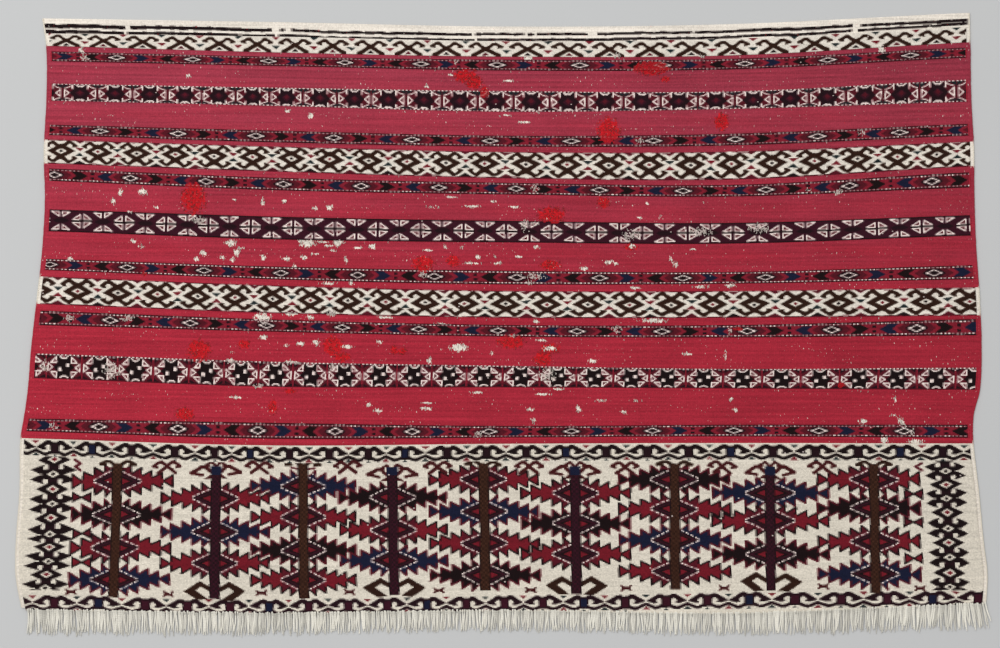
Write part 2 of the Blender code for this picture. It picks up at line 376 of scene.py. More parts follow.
def cream_chart(band, fat, bite, middle, first_dot):
    """Cream band: linked hooked diamonds with small triangles between them."""
    dark_dot = (band.number + first_dot) % 2 == 0
    green_above = band.gap % 2 == 1
    band.area([(0, middle - .31), (.10, middle - .27), (.76, middle), (.10, middle + .27), (0, middle + .31)],
              BROWN)
    band.area([(0, middle - bite), (.31, middle), (0, middle + bite)], CREAM)
    band.area([(0, middle - .06), (.11, middle), (0, middle + .06)], BLACK, dark_dot)
    band.area([(0, middle - .06), (.11, middle), (0, middle + .06)], RED, ~dark_dot)
    upper = [(0, .20), (.20, .13), (.34, .04), (.48, .04), (.68, .12), (.90, .24), (.72, .30 + fat),
             (.57, .30 + fat), (.62, .22 + fat), (.50, .15 + fat), (.42, .15 + fat), (.24, .27), (.10, .34),
             (0, .36)]
    lower = [(a, 1 - v + middle - .48) if v > .26 else (a, .985 - v) for a, v in upper]
    for corners in (upper, lower):
        band.outlined(corners, 0.5, BROWN, BROWN)
    band.area([(.74, .03), (1, .03), (1, .13)], MAROON)
    for above, below, only in ((GREEN, RED, green_above), (RED, GREEN, ~green_above)):
        band.area([(.75, middle - .15), (1, middle - .15), (1, middle - .01)], above, only)
        band.area([(.75, middle + .20), (1, middle + .20), (1, middle + .05)], below, only)
    band.area([(.66, .97), (1, .97), (1, .84)], MAROON, green_above)
    band.area([(.66, .97), (1, .97), (1, .84)], BLACK, ~green_above)
    band.rows(0, .03, MAROON)
    band.rows(.97, 1.01, MAROON)


def diamond_chart(band):
    """Diamonds cut in four by dark lines, with half diamonds between them."""
    for corners in ([(.09, .19), (.09, .42), (.45, .42)], [(.09, .55), (.09, .79), (.45, .55)],
                    [(.92, .09), (.92, .30), (.58, .09)], [(.92, .69), (.92, .90), (.58, .90)]):
        band.outlined(corners, 1.6, WHITE, MAROON)
    band.area([(.60, .5), (.80, .38), (1, .38), (1, .60), (.80, .60)], AUBERGINE)
    band.rows(.44, .53, BLACK, band.x / band.half < .50)
    band.rows(0, .05, BLACK)
    band.rows(.96, 1.01, BLACK)


def star_chart(band):
    """Dark stars with two white knots, and white triangles about a maroon cross."""
    band.area([(.37, .06), (1, .06), (1, .94), (.37, .94)], MAROON)
    band.area([(.66, .06), (1, .06), (1, .24)], AUBERGINE)
    band.area([(.66, .94), (1, .94), (1, .80)], AUBERGINE)
    band.area([(0, .06), (.37, .06), (.37, .36), (.60, .52), (.37, .68), (.37, .94), (0, .94)], BLACK)
    band.outlined([(.42, .10), (.42, .33), (.74, .33)], 1.6, WHITE, MAROON)
    band.outlined([(.42, .95), (.42, .71), (.74, .71)], 1.6, WHITE, MAROON)
    band.outlined([(.64, .52), (.89, .37), (.89, .67)], 1.6, WHITE, MAROON)
    band.line([(0, .16), (.11, .15), (.22, .07)], 1.7, WHITE)
    band.line([(0, .88), (.11, .89), (.22, .95)], 1.7, WHITE)
    band.area([(0, .06), (.12, .06), (0, .12)], ROSE)
    left = band.side < 0
    v = band.y / band.height
    near = np.abs(band.x - .22 * band.half) < 2.2
    band.fill(near & (np.abs(v - .60) < .075) & left, WHITE)
    band.fill(near & (np.abs(v - .43) < .075) & ~left, WHITE)
    band.line([(1, .08), (1, .94)], 2.0, DEEP_RED)
    band.rows(0, .05, MAROON)
    band.dots(.0, .05)
    band.rows(.96, 1.01, MAROON)


# Each band: its ground yarn, the middles of some repeats in mm across, its chart and the chart's own facts
BANDS = {
    "scroll band": (CREAM, (
        (0, -548.5), (1, -501.6), (2, -452.2), (5, -307.5), (10, -68.7), (11, -19.3), (13, 86.3), (15, 188.5),
        (20, 448.5), (22, 550.0)), scroll_chart, ()),
    "thin band 1": (DEEP_RED, (
        (0, -485.5), (5, -4.7), (10, 517.4)), thin_chart, (NAVY, BLACK)),
    "hook band": (PLUM, (
        (0, -531.0), (3, -398.8), (7, -228.0), (9, -142.0), (13, 38.4), (17, 225.0), (22, 459.5),
        (24, 552.0)), hook_chart, ()),
    "thin band 2": (DEEP_RED, (
        (0, -506.1), (1, -407.6), (5, -14.0), (6, 89.1), (10, 503.9)), thin_chart, (BLACK, NAVY)),
    "cream band 1": (CREAM, (
        (0, -555.2), (1, -508.4), (11, -20.3), (14, 136.2), (17, 291.0), (18, 342.3), (20, 450.5),
        (22, 551.0)), cream_chart, (.0, .125, .455, 0)),
    "thin band 3": (DEEP_RED, (
        (0, -563.6), (2, -371.9), (6, 19.5), (7, 125.2), (10, 440.1), (11, 544.4)),
        thin_chart, (BLACK, NAVY)),
    "diamond band": (PLUM, (
        (0, -528.8), (6, -209.3), (10, 7.3), (12, 121.0), (15, 293.3), (18, 474.8), (20, 589.5)),
        diamond_chart, ()),
    "thin band 4": (DEEP_RED, (
        (0, -569.3), (3, -277.5), (5, -84.3), (10, 438.8), (11, 547.1)), thin_chart, (NAVY, BLACK)),
    "cream band 2": (CREAM, (
        (0, -534.0), (3, -383.0), (6, -240.0), (8, -145.0), (10, -46.0), (14, 162.5), (18, 372.5),
        (20, 481.4), (22, 592.0)), cream_chart, (.02, .11, .50, 1)),
    "thin band 5": (DEEP_RED, (
        (0, -493.0), (1, -392.0), (4, -103.6), (6, 96.5), (8, 311.0), (10, 525.1)),
        thin_chart, (BLACK, NAVY)),
    "star band": (AUBERGINE, (
        (0, -551.5), (4, -371.0), (8, -197.0), (12, -21.3), (16, 165.0), (18, 256.3), (21, 403.5),
        (24, 549.6)), star_chart, ()),
    "thin band 6": (DEEP_RED, (
        (0, -507.9), (2, -306.5), (5, -14.8), (6, 89.0), (8, 294.3), (10, 509.0)), thin_chart, (NAVY, BLACK)),
}


# Tree panel

# Teeth of a lozenge from its stem outwards: start, end, half height at the start and at the end
LONG_TEETH = ((5.7, 17.4, 12.4, 20.4), (17.4, 29.8, 10.8, 17.8), (29.8, 42.4, 8.0, 13.8),
              (42.4, 55.4, 5.2, 10.8), (55.4, 68.0, 1.8, 8.0))
SHORT_TEETH = ((5.7, 15.8, 12.4, 20.4), (15.8, 28.8, 10.6, 17.8), (28.8, 41.8, 7.8, 13.2),
               (41.8, 55.0, 2.0, 9.8))
# Width of a tooth's blunt tip, and of the dark rim
TOOTH_TIP = 2.2
RIM = 2.4
# Drop from which the stems' two places are measured, and how far down the lower one lies
STEM_DROP = 570
STEM_RUN = 165
# Drop where a tall and a short tree's stem starts, and the half width of a stem and of its core
TALL_TOP = 569.4
SHORT_TOP = 573.0
STEM_HALF = 6.6
CORE_HALF = 5.4
# Size of the checks in a stem
CHECK = 3.0
# Each tree: its stem's place at the top and at the bottom, the drop where the stem ends, how wide its
# lozenges are, and the drop and yarn of each lozenge
TREES = (
    (-483.4, -489.1, 737.5, 1.05, ((591.5, RED), (633.6, BLACK), (675.8, RED), (715.8, NAVY))),
    (-359.6, -361.4, 740.8, 1.02, ((613.2, RED), (655.4, NAVY), (695.2, RED))),
    (-249.8, -248.5, 739.6, 0.99, ((597.8, NAVY), (636.9, RED), (678.6, BLACK), (716.5, RED))),
    (-137.1, -134.2, 736.2, 1.01, ((612.1, BLACK), (653.1, RED), (691.8, NAVY))),
    (-21.9, -19.1, 729.1, 1.03, ((589.3, RED), (629.9, NAVY), (670.1, RED), (710.1, BLACK))),
    (93.8, 95.7, 733.9, 1.03, ((606.4, RED), (645.1, BLACK), (683.7, RED))),
    (219.2, 220.3, 728.2, 1.05, ((589.3, BLACK), (626.8, RED), (665.6, NAVY), (705.5, RED))),
    (339.8, 341.3, 729.4, 1.10, ((606.4, NAVY), (641.7, RED), (683.7, BLACK))),
    (470.8, 473.3, 732.9, 1.07, ((589.3, RED), (625.6, BLACK), (667.8, RED), (708.9, NAVY))),
)
# Middles in mm across of some blocks of the panel's upper and lower border
TOP_BLOCKS = ((0, -563.0), (1, -515.5), (2, -466.2), (3, -411.0), (4, -361.0), (5, -316.7), (7, -216.5),
              (8, -166.9), (9, -121.8), (10, -68.0), (12, 32.0), (14, 132.4), (17, 290.2), (22, 558.1))
BOTTOM_BLOCKS = ((0, -563.2), (1, -507.7), (2, -448.7), (4, -341.9), (10, -43.8), (12, 53.1), (17, 313.7),
                 (21, 545.3))
TOP_BORDER = (1.6, 19.4)
BOTTOM_BORDER_HEIGHT = 19.6
# Middle line of each side border by drop, and the drops of its diamonds: hooked at whole numbers and
# plain between them
LEFT_COLUMN = ((561, -563.3), (583, -564.9), (638, -567.3), (692, -570.9), (710, -573.9), (730, -575.1))
RIGHT_COLUMN = ((560, 559.8), (579, 561.1), (688, 566.4), (730, 567.0))
LEFT_DIAMONDS = ((583.2, 0), (601.9, 0.5), (620.4, 1), (638.2, 1.5), (659.0, 2), (674.0, 2.5), (692.5, 3),
                 (709.9, 3.5), (727.0, 4))
RIGHT_DIAMONDS = ((579.1, 0), (595.7, 0.5), (613.1, 1), (630.8, 1.5), (651.3, 2), (669.1, 2.5), (688.1, 3),
                  (707.8, 3.5), (725.0, 4))
# Drop in mm where the bottom row of blocks starts, by place across
BOTTOM_START = ((-600, 735), (-500, 737), (-380, 741), (-250, 740.5), (-100, 738), (0, 736), (150, 735),
                (300, 732), (570, 730))


class Panel(Chart):
    """Chart of the tree panel: x is mm from the middle line, y is mm below the hem's highest corner."""

    def __init__(self, x, y, depth):
        self.depth = depth
        super().__init__(x, y, IVORY)

    def paint(self, middle_x, middle_y, reach_x, reach_y, draw, *facts):
        """Draw a motif about its middle on the knots in reach, folded left to right."""
        pick = (np.abs(self.x - middle_x) < reach_x) & (np.abs(self.y - middle_y) < reach_y)
        x = self.x[pick] - middle_x
        part = Chart(np.abs(x), self.y[pick] - middle_y, -1)
        part.side = np.sign(x)
        draw(part, *facts)
        self.yarn[pick] = np.where(part.yarn >= 0, part.yarn, self.yarn[pick])


def toothed_edge(dx, teeth):
    """Half height of a toothed lozenge at a distance from its stem."""
    half = np.where(dx < teeth[0][0], teeth[0][2], 0.0)
    for start, end, low, high in teeth:
        part = np.clip((dx - start) / (end - TOOTH_TIP - start), 0, 1)
        half = np.where((dx >= start) & (dx < end), low + (high - low) * part, half)
    return half


def lozenge(part, wool, reach, short_side):
    """Toothed lozenge with a dark rim, a ring of white knots and a red heart."""
    dx, dy = part.x / reach, np.abs(part.y)
    short = part.side == short_side
    edge = np.where(short, toothed_edge(dx, SHORT_TEETH), toothed_edge(dx, LONG_TEETH))
    beyond = np.where(short, toothed_edge(dx + RIM, SHORT_TEETH), toothed_edge(dx + RIM, LONG_TEETH))
    rim = MAROON if wool in (NAVY, BLACK) else BLACK
    part.fill(dy < edge, rim)
    inside = (dy < edge - RIM) & (dy < beyond)
    part.fill(inside, wool)
    if wool == RED:
        part.fill(inside & (dx < 27), MAROON)
    part.diamond(0, 30.0 * reach, 12.8, AUBERGINE)
    dashes = dx % 6.1 < 4.4
    part.stroke([(7.5 * reach, 11.4), (29.0 * reach, 0.9)], 1.5, WHITE, dashes)
    part.stroke([(7.5 * reach, -11.4), (29.0 * reach, -0.9)], 1.5, WHITE, dashes)
    part.diamond(0, 25.0 * reach, 10.2, PLUM)
    part.diamond(0, 20.5 * reach, 8.6, BLACK)
    part.diamond(0, 15.5 * reach, 6.6, RED)


def tree(panel, stem_top, stem_low, lowest, reach, lozenges, tall, short_side):
    """Tree: a checked stem, its lozenges, and horns at the top and the foot."""
    top = TALL_TOP if tall else SHORT_TOP
    stem = stem_top + (stem_low - stem_top) * (panel.y - STEM_DROP) / STEM_RUN
    for y, wool in lozenges:
        middle = stem_top + (stem_low - stem_top) * (y - STEM_DROP) / STEM_RUN
        panel.paint(middle, y, 80, 21, lozenge, wool, reach, short_side)
    if tall:
        panel.paint(stem_top, top, 30, 12, tall_cap)
    else:
        panel.paint(stem_top, 580.1 if reach < 1.02 else 577.0, 40, 22, hooked_cap)
        panel.paint(stem_low, lowest - 8, 44, 20, foot)
    across = panel.x - stem
    on = (np.abs(across) < STEM_HALF) & (panel.y > top) & (panel.y < lowest)
    panel.fill(on, BLACK)
    core = on & (np.abs(across) < CORE_HALF)
    checks = (np.floor(panel.y / CHECK) + np.floor(across / CHECK + 20)) % 2 == 0
    panel.fill(core, BARK if tall else PLUM)
    panel.fill(core & checks, BROWN if tall else AUBERGINE)
    if not tall:
        panel.fill(on & (panel.y < top + 11), NAVY)


def horn(part, points, width, barb, yarn=BROWN):
    """One bent horn with a pointed barb turned back towards the stem."""
    part.stroke(points, width, yarn)
    part.stroke([points[-1], barb], width * 0.8, yarn)


def tall_cap(part):
    """Pair of horns on a tall tree."""
    horn(part, [(5, 1.0), (10, -2.2), (14, -2.4), (22, 1.2)], 4.2, (15.0, 1.8))
    part.stroke([(7.0, 6.8), (15.5, 5.4)], 2.4, MAROON)


def hooked_cap(part):
    """Two pairs of horns and a pair of thorns on a short tree."""
    horn(part, [(1.5, -5), (6, -9.4), (13.2, -5.2)], 3.4, (9.5, -4.6), RUSSET)
    horn(part, [(5.7, 3.4), (9.5, 0.6), (13.2, -3.6), (18.5, -3.6), (24, -0.2), (31, 3.6)], 4.6,
         (16.5, 6.4), RUSSET)
    part.patch([(5.7, 5.2), (15.5, 12), (5.7, 11.2)], RUSSET)


def foot(part):
    """Pair of bent legs on a short tree."""
    part.patch([(5.5, -7), (18.5, -14.8), (39.5, -2.8), (22, 9.4), (8.5, 8.6), (24.5, -3), (17.5, -7.4),
                (5.5, -0.6)], BROWN)


def cross(part):
    """Small hooked cross between two trees."""
    horn(part, [(0, 0), (6, -5), (9.5, -5), (17, -0.4)], 4.2, (12, 1.2), RUSSET)
    part.stroke([(0, 0.4), (10.5, 8.2)], 4.4, RUSSET)


def small_cross(part):
    """Small bow shape near the foot of the panel."""
    part.patch([(0, -1.8), (3, -2.0), (4.4, -3.6), (7.6, -3.6), (5.2, 0), (7.6, 3.6), (4.4, 3.6), (3, 2.0),
                (0, 1.8)], RUSSET)


def bow_tie(part, yarn):
    """Two triangles that meet in a point, near an end of the panel."""
    part.patch([(0, -1.2), (12.4, -7.6), (12.4, 7.6), (0, 1.2)], BLACK)
    part.patch([(2, 0), (10.4, -4.4), (10.4, 4.4)], yarn)


def block_row(x, v, height, places, wool, heart):
    """Row of dark blocks with barbed horns and a wave below them."""
    band = Band(x, v, height, places, IVORY)
    even = band.gap % 2 == 0
    band.line([(0, .78), (.22, .78), (.40, .88), (.56, .91), (.78, .78), (1, .66)], 4.0, wool)
    band.area([(0, .10), (.22, .10), (.22, .86), (0, .86)], wool)
    band.outlined([(0, .14), (.12, .13), (.22, .04), (.33, .02), (.45, .07), (.62, .21), (.95, .45),
                   (.80, .51), (.62, .58), (.43, .56), (.55, .46), (.45, .32), (.35, .24), (.26, .26),
                   (.20, .36), (0, .36)], 1.3, wool, wool)
    band.area([(0, .22), (.16, .22), (.16, .76), (0, .76)], heart)
    band.area([(0, .22), (.16, .22), (.16, .76), (0, .76)], NAVY, band.number % 4 == 1)
    for upper, lower, only in ((GREEN, RED, even), (RED, GREEN, ~even)):
        band.area([(.81, .04), (1, .04), (1, .23)], upper, only)
        band.area([(.81, 1.01), (1, 1.01), (1, .80)], lower, only)
    band.area([(0, .91), (.12, 1.04), (0, 1.04)], GREEN)
    return band.yarn


def side_border(panel):
    """Column of hooked diamonds inside each edge."""
    for column, diamonds, tip in ((LEFT_COLUMN, LEFT_DIAMONDS, 1.14), (RIGHT_COLUMN, RIGHT_DIAMONDS, 1.0)):
        middle = np.interp(panel.y, [row[0] for row in column], [row[1] for row in column])
        dx = np.abs(panel.x - middle)
        on = (panel.depth > 15) & (panel.y < 729) & (dx < 31)
        number = repeat_number(panel.y[on], [(row[1], row[0]) for row in diamonds])
        part = Chart(dx[on], np.abs(number - np.round(number)) * 36.5, -1)
        part.fill(part.x < 6.4, AUBERGINE)
        part.patch([(6, 0.6), (16, 0.6), (26 * tip, 6.4), (17, 10.6), (10.6, 12.2), (13.0, 8.4), (11.8, 5.8),
                    (6, 6.2)], BLACK)
        part.diamond(0, 13.5, 7.2, BLACK)
        part.diamond(0, 8.0, 4.3, IVORY)
        part.diamond(0, 3.2, 2.4, BLACK)
        part.diamond(18.2, 20.5, 10.0, BLACK)
        part.diamond(18.2, 8.4, 4.8, IVORY)
        part.diamond(18.2, 4.0, 2.6, RED)
        panel.yarn[on] = np.where(part.yarn >= 0, part.yarn, panel.yarn[on])


def panel_yarns(x, y, depth):
    """Yarn number of each knot of the tree panel."""
    panel = Panel(x, y, depth)
    start = np.interp(x, [row[0] for row in BOTTOM_START], [row[1] for row in BOTTOM_START])
    on = y > start
    panel.yarn[on] = block_row(x[on], (y[on] - start[on]) / BOTTOM_BORDER_HEIGHT, BOTTOM_BORDER_HEIGHT,
                               BOTTOM_BLOCKS, AUBERGINE, PLUM)
    side_border(panel)
    for i, (stem_top, stem_low, lowest, reach, lozenges) in enumerate(TREES):
        short_side = {0: -1, 8: 1}.get(i, 0)
        tree(panel, stem_top, stem_low, lowest, reach, lozenges, i % 2 == 0, short_side)
    start, height = TOP_BORDER
    on = (depth > start) & (depth < start + height * 1.05)
    panel.yarn[on] = block_row(x[on], (depth[on] - start) / height, height, TOP_BLOCKS, BLACK, AUBERGINE)
    for left_tree, right_tree in zip(TREES, TREES[1:]):
        middle = (left_tree[0] + right_tree[0]) / 2
        panel.paint(middle, 573.0, 20, 12, cross)
        panel.paint(middle + 2, np.interp(middle, (-500, 500), (735, 723)), 10, 6, small_cross)
    for middle, drop in ((-542.8, 731), (529.3, 726.5)):
        panel.paint(middle, drop, 10, 6, small_cross)
    for middle, drops in ((-529, (612, 657.5, 694)), (521, (608, 643.5, 689))):
        for drop, yarn in zip(drops, (MAROON, MAROON, RED)):
            panel.paint(middle, drop, 13, 9, bow_tie, yarn)
    panel.stroke([(-538, 564), (-531, 568.5), (-537.5, 572.5), (-531, 576.5)], 3.4, MAROON)
    panel.stroke([(532, 569), (524, 573.8), (532, 578)], 3.2, MAROON)
    return panel.yarn


# Wear and mends: middle across, drop, width and height of each spot in mm

WORN_SPOTS = (
    (-525, 57, 14, 8), (-529, 48, 10, 12), (-56, 62, 8, 8), (35, 58, 14, 6), (144, 54, 16, 6),
    (253, 54, 10, 6), (481, 46, 12, 20), (455, 152, 10, 8), (175, 162, 14, 8), (-94, 92, 8, 8),
    (-270, 124, 12, 5), (-240, 130, 10, 9), (-395, 80, 10, 5), (10, 86, 16, 3), (-64, 78, 14, 3),
    (6, 130, 20, 3), (30, 138, 24, 3), (44, 126, 14, 3), (43, 222, 12, 10), (389, 225, 10, 8),
    (426, 226, 14, 8), (-481, 226, 8, 12), (-489, 238, 10, 9), (-452, 226, 14, 12), (-435, 246, 6, 4),
    (-468, 252, 7, 5), (-337, 236, 8, 4), (-301, 239, 6, 15), (-273, 238, 8, 6), (-234, 247, 10, 6),
    (-216, 246, 12, 8), (-86, 245, 20, 3), (-37, 245, 28, 4), (-10, 239, 18, 3), (-62, 233, 18, 3),
    (17, 245, 14, 3), (185, 241, 5, 7), (175, 259, 8, 4), (201, 258, 7, 5), (256, 238, 5, 5),
    (-381, 262, 20, 10), (-253, 288, 8, 8), (31, 270, 12, 20), (44, 266, 10, 6), (164, 281, 26, 16),
    (252, 277, 32, 12), (326, 272, 30, 14), (-464, 289, 10, 6), (-454, 295, 8, 5), (-341, 291, 20, 11),
    (-244, 291, 26, 14), (-227, 290, 22, 3), (-206, 291, 16, 12), (-218, 294, 12, 4), (-162, 295, 12, 8),
    (-180, 297, 16, 3), (-70, 296, 8, 8), (-49, 296, 6, 7), (-91, 300, 16, 3), (45, 296, 14, 5),
    (166, 295, 11, 9), (243, 299, 10, 3), (-376, 303, 11, 10), (-384, 311, 8, 7), (-333, 302, 10, 15),
    (-327, 297, 10, 4), (-339, 312, 7, 8), (-351, 309, 8, 7), (-300, 309, 9, 9), (-271, 311, 14, 6),
    (-248, 309, 12, 7), (-234, 305, 14, 3), (-211, 300, 10, 4), (-195, 312, 6, 15), (-543, 311, 12, 5),
    (-37, 316, 30, 4), (-29, 309, 8, 8), (-5, 316, 16, 4), (-8, 308, 4, 9), (23, 308, 8, 4),
    (136, 315, 18, 6), (145, 317, 9, 6), (221, 318, 9, 9), (215, 312, 5, 7), (-261, 321, 7, 6),
    (44, 333, 34, 9), (-98, 331, 13, 9), (105, 323, 12, 6), (-218, 342, 26, 4), (-189, 341, 7, 7),
    (36, 341, 14, 6), (170, 348, 16, 5), (252, 346, 28, 4), (290, 345, 20, 6), (-301, 386, 26, 20),
    (-471, 386, 20, 10), (-544, 386, 16, 10), (-214, 380, 14, 9), (-264, 380, 20, 7), (-241, 385, 12, 7),
    (-146, 385, 28, 4), (-75, 393, 22, 4), (44, 390, 13, 6), (193, 389, 44, 6), (147, 400, 16, 12),
    (289, 402, 9, 10), (15, 408, 9, 5), (-300, 410, 16, 7), (-234, 416, 12, 10), (-253, 418, 13, 7),
    (-270, 420, 14, 3), (-194, 422, 20, 5), (-154, 416, 11, 6), (-53, 423, 28, 12), (-90, 439, 10, 10),
    (-12, 430, 7, 7), (51, 414, 16, 4), (62, 424, 22, 8), (116, 440, 16, 5), (236, 431, 20, 4),
    (283, 432, 5, 14), (-338, 429, 8, 4), (-341, 440, 15, 9), (-264, 442, 24, 7), (-212, 448, 13, 10),
    (-491, 452, 26, 22), (59, 457, 24, 20), (-575, 446, 12, 18), (-306, 472, 15, 7), (73, 476, 16, 4),
    (-334, 486, 24, 4), (-30, 480, 20, 3), (53, 482, 24, 3), (-93, 493, 22, 3), (-93, 500, 20, 5),
    (98, 500, 8, 11), (37, 501, 12, 5), (155, 504, 8, 7), (170, 490, 18, 3), (125, 490, 18, 4),
    (291, 488, 6, 8), (297, 502, 8, 7), (42, 515, 7, 10), (-166, 495, 9, 6), (-155, 503, 13, 6),
    (498, 489, 6, 9), (497, 509, 14, 4), (505, 516, 8, 12), (509, 521, 8, 8), (519, 530, 7, 12),
    (484, 540, 12, 10), (524, 542, 26, 8), (458, 516, 18, 7), (-564, 522, 14, 10), (-28, 532, 12, 10),
)
MENDS = (
    (-388, 235, 38, 44), (-44, 80, 38, 20), (-34, 88, 28, 20), (-20, 100, 14, 16), (136, 148, 34, 38),
    (190, 71, 52, 20), (208, 84, 14, 10), (279, 138, 22, 26), (64, 255, 42, 24), (130, 240, 18, 18),
    (-98, 317, 34, 24), (-60, 314, 20, 18), (62, 319, 32, 16), (164, 296, 22, 10), (-381, 426, 36, 32),
    (-212, 421, 30, 32), (-200, 435, 26, 14), (-324, 419, 18, 13), (-288, 498, 14, 22),
    (-399, 507, 28, 20), (-266, 478, 20, 8), (-135, 426, 12, 14), (53, 437, 28, 22), (13, 416, 42, 20),
    (62, 424, 30, 14), (-124, 428, 12, 10), (430, 470, 10, 8), (-450, 330, 8, 6), (300, 400, 14, 5),
)
# Lines of the cloth below which single bare warps show
RAGGED_LINES = ("red below scroll", "red 1", "red 2", "red 4", "red 5", "red 6", "red 8", "red 9", "red 10")
# How far the panel's pile hangs over the fringe's root, at the five stations
PILE_OVERHANG = (3.0, 4.5, 0.5, 3.0, 0.5)
# The two lines in the hem: place across, drop below the hem's edge and half width
HEM_LINES = (
    ((-560, 9.2, 2.5), (-460, 9.6, 2.4), (-300, 10.2, 1.9), (-140, 10.9, 1.7), (160, 8.9, 1.5),
     (370, 9.2, 1.9), (590, 9.2, 1.9)),
    ((-560, 16.4, 2.2), (-450, 16.8, 2.0), (-141, 17.9, 1.6), (162, 16.0, 1.7), (371, 16.3, 1.7),
     (586, 13.4, 1.6)),
)
# Places across where both lines start and end
HEM_LINES_START = -577
HEM_LINES_END = 590
# Where each of the lines is broken: place across and width of the break
HEM_BREAKS = (
    ((-471, 6), (-284, 11), (-269, 9), (-34, 5), (32, 5), (44, 4), (116, 12), (243, 3), (450, 11)),
    ((-474, 4), (-329, 3), (-283, 4), (-32, 3), (447, 8)),
)


# Cloth plan

def smooth_read(places, values, at):
    """Values at places on a smooth curve through a table's values, straight beyond its ends."""
    places, values, at = (np.asarray(item, float) for item in (places, values, at))
    last = len(places) - 1
    low = np.maximum(np.arange(last + 1) - 1, 0)
    high = np.minimum(np.arange(last + 1) + 1, last)
    slopes = (values[high] - values[low]) / (places[high] - places[low])
    i = np.clip(np.searchsorted(places, at, side="right") - 1, 0, last - 1)
    span = places[i + 1] - places[i]
    t = (at - places[i]) / span
    curve = ((2 * t ** 3 - 3 * t ** 2 + 1) * values[i]
             + (t ** 3 - 2 * t ** 2 + t) * span * slopes[i]
             + (3 * t ** 2 - 2 * t ** 3) * values[i + 1]
             + (t ** 3 - t ** 2) * span * slopes[i + 1])
    curve = np.where(at <= places[0], values[0] + slopes[0] * (at - places[0]), curve)
    return np.where(at >= places[last], values[last] + slopes[last] * (at - places[last]), curve)


def side_x(drop, side):
    """Place in mm of the left (side 1) or right (side 2) edge at a drop in mm."""
    return smooth_read([row[0] for row in SIDE_EDGES], [row[side] for row in SIDE_EDGES], drop)


def row_place(drops, across):
    """Places in mm of points at fractions across, on the line with these five drops."""
    left = side_x(smooth_read(STATIONS, drops, 0.0), 1)
    right = side_x(smooth_read(STATIONS, drops, 1.0), 2)
    return left + (right - left) * across, smooth_read(STATIONS, drops, across)


def lay_out(rows, across):
    """Places across and drops in mm of a grid with these rows of five drops and these fractions across."""
    places = [row_place(drops, across) for drops in rows]
    return np.array([place[0] for place in places]), np.array([place[1] for place in places])


def between(first, last, parts):
    """Rows of five drops at parts of the way from one line to another."""
    first, last = np.array(first, float), np.array(last, float)
    return [first + (last - first) * part for part in parts]


def swell(x, drop):
    """Slow rise and fall in mm of the cloth's upper face."""
    return SWELL_HEIGHT * np.sin(x / SWELL_LENGTH_X * math.tau) * np.cos(drop / SWELL_LENGTH_Y * math.tau)


def find_shift():
    """Where the cloth's middle line and highest corner lie in the frame, from the solid's box."""
    low, high = (Vector(corner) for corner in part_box("face_cloth"))
    lines = list(CROSS_LINES.values())
    x, drop = lay_out(between(lines[0], lines[-1], np.linspace(0, 1, 200)), np.linspace(0, 1, 200))
    shift_x = (low.x + high.x) / 2 - (x.min() + x.max()) / 2 * MM
    shift_y = (low.y + high.y) / 2 + (drop.min() + drop.max()) / 2 * MM
    return Vector((shift_x, shift_y, 0.0))


SHIFT = find_shift()


# Shades of the knots

# How much the shade changes from row to row, in slow drifts and from knot to knot, also in the mends
ROW_CHANGE = 0.03
DRIFT_CHANGE = 0.045
KNOT_CHANGE = 0.06
MEND_CHANGE = 0.14
# Share of the knots that are worn to the warp outside the worn spots
THIN_WEAR = 0.0006
# Width of the plain red margin at both ends of the dark bands
BAND_MARGIN = 5.5


def yarn_table():
    """Linear colours of all yarns, by number."""
    yarns = bpy.context.scene.bag_yarns
    return np.array([tuple(getattr(yarns, name)) for name in YARN_NAMES])


def cloud(x, y, size, seed):
    """Soft uneven field between -1 and 1, whose patches measure about the given size."""
    chance = np.random.RandomState(seed)
    field = np.zeros(np.broadcast(x, y).shape)
    for _ in range(5):
        angle, phase = chance.uniform(0, math.tau, 2)
        reach = size * chance.uniform(0.7, 1.6)
        field += np.sin((x * math.cos(angle) + y * math.sin(angle)) / reach * math.tau + phase)
    return field / 3.2


def halve(shades):
    """Shade midway, as the eye sees it, of each two by two block of samples."""
    rows, columns = shades.shape[0] // 2, shades.shape[1] // 2
    return np.sqrt(shades).reshape(rows, 2, columns, 2, 3).mean(axis=(1, 3)) ** 2


def spots(x, drop, table, seed):
    """How deep each knot lies in the nearest spot of a table: 1 in its middle, 0 at its rim."""
    depth = np.zeros(x.shape)
    for middle, middle_drop, width, height in table:
        near = (np.abs(x - middle) < width) & (np.abs(drop - middle_drop) < height)
        off = np.hypot((x[near] - middle) / (width / 2), (drop[near] - middle_drop) / (height / 2))
        depth[near] = np.maximum(depth[near], 1 - off)
    return np.clip(depth + 0.22 * cloud(x, drop, 7.0, seed), -1, 1) * (depth > 0)


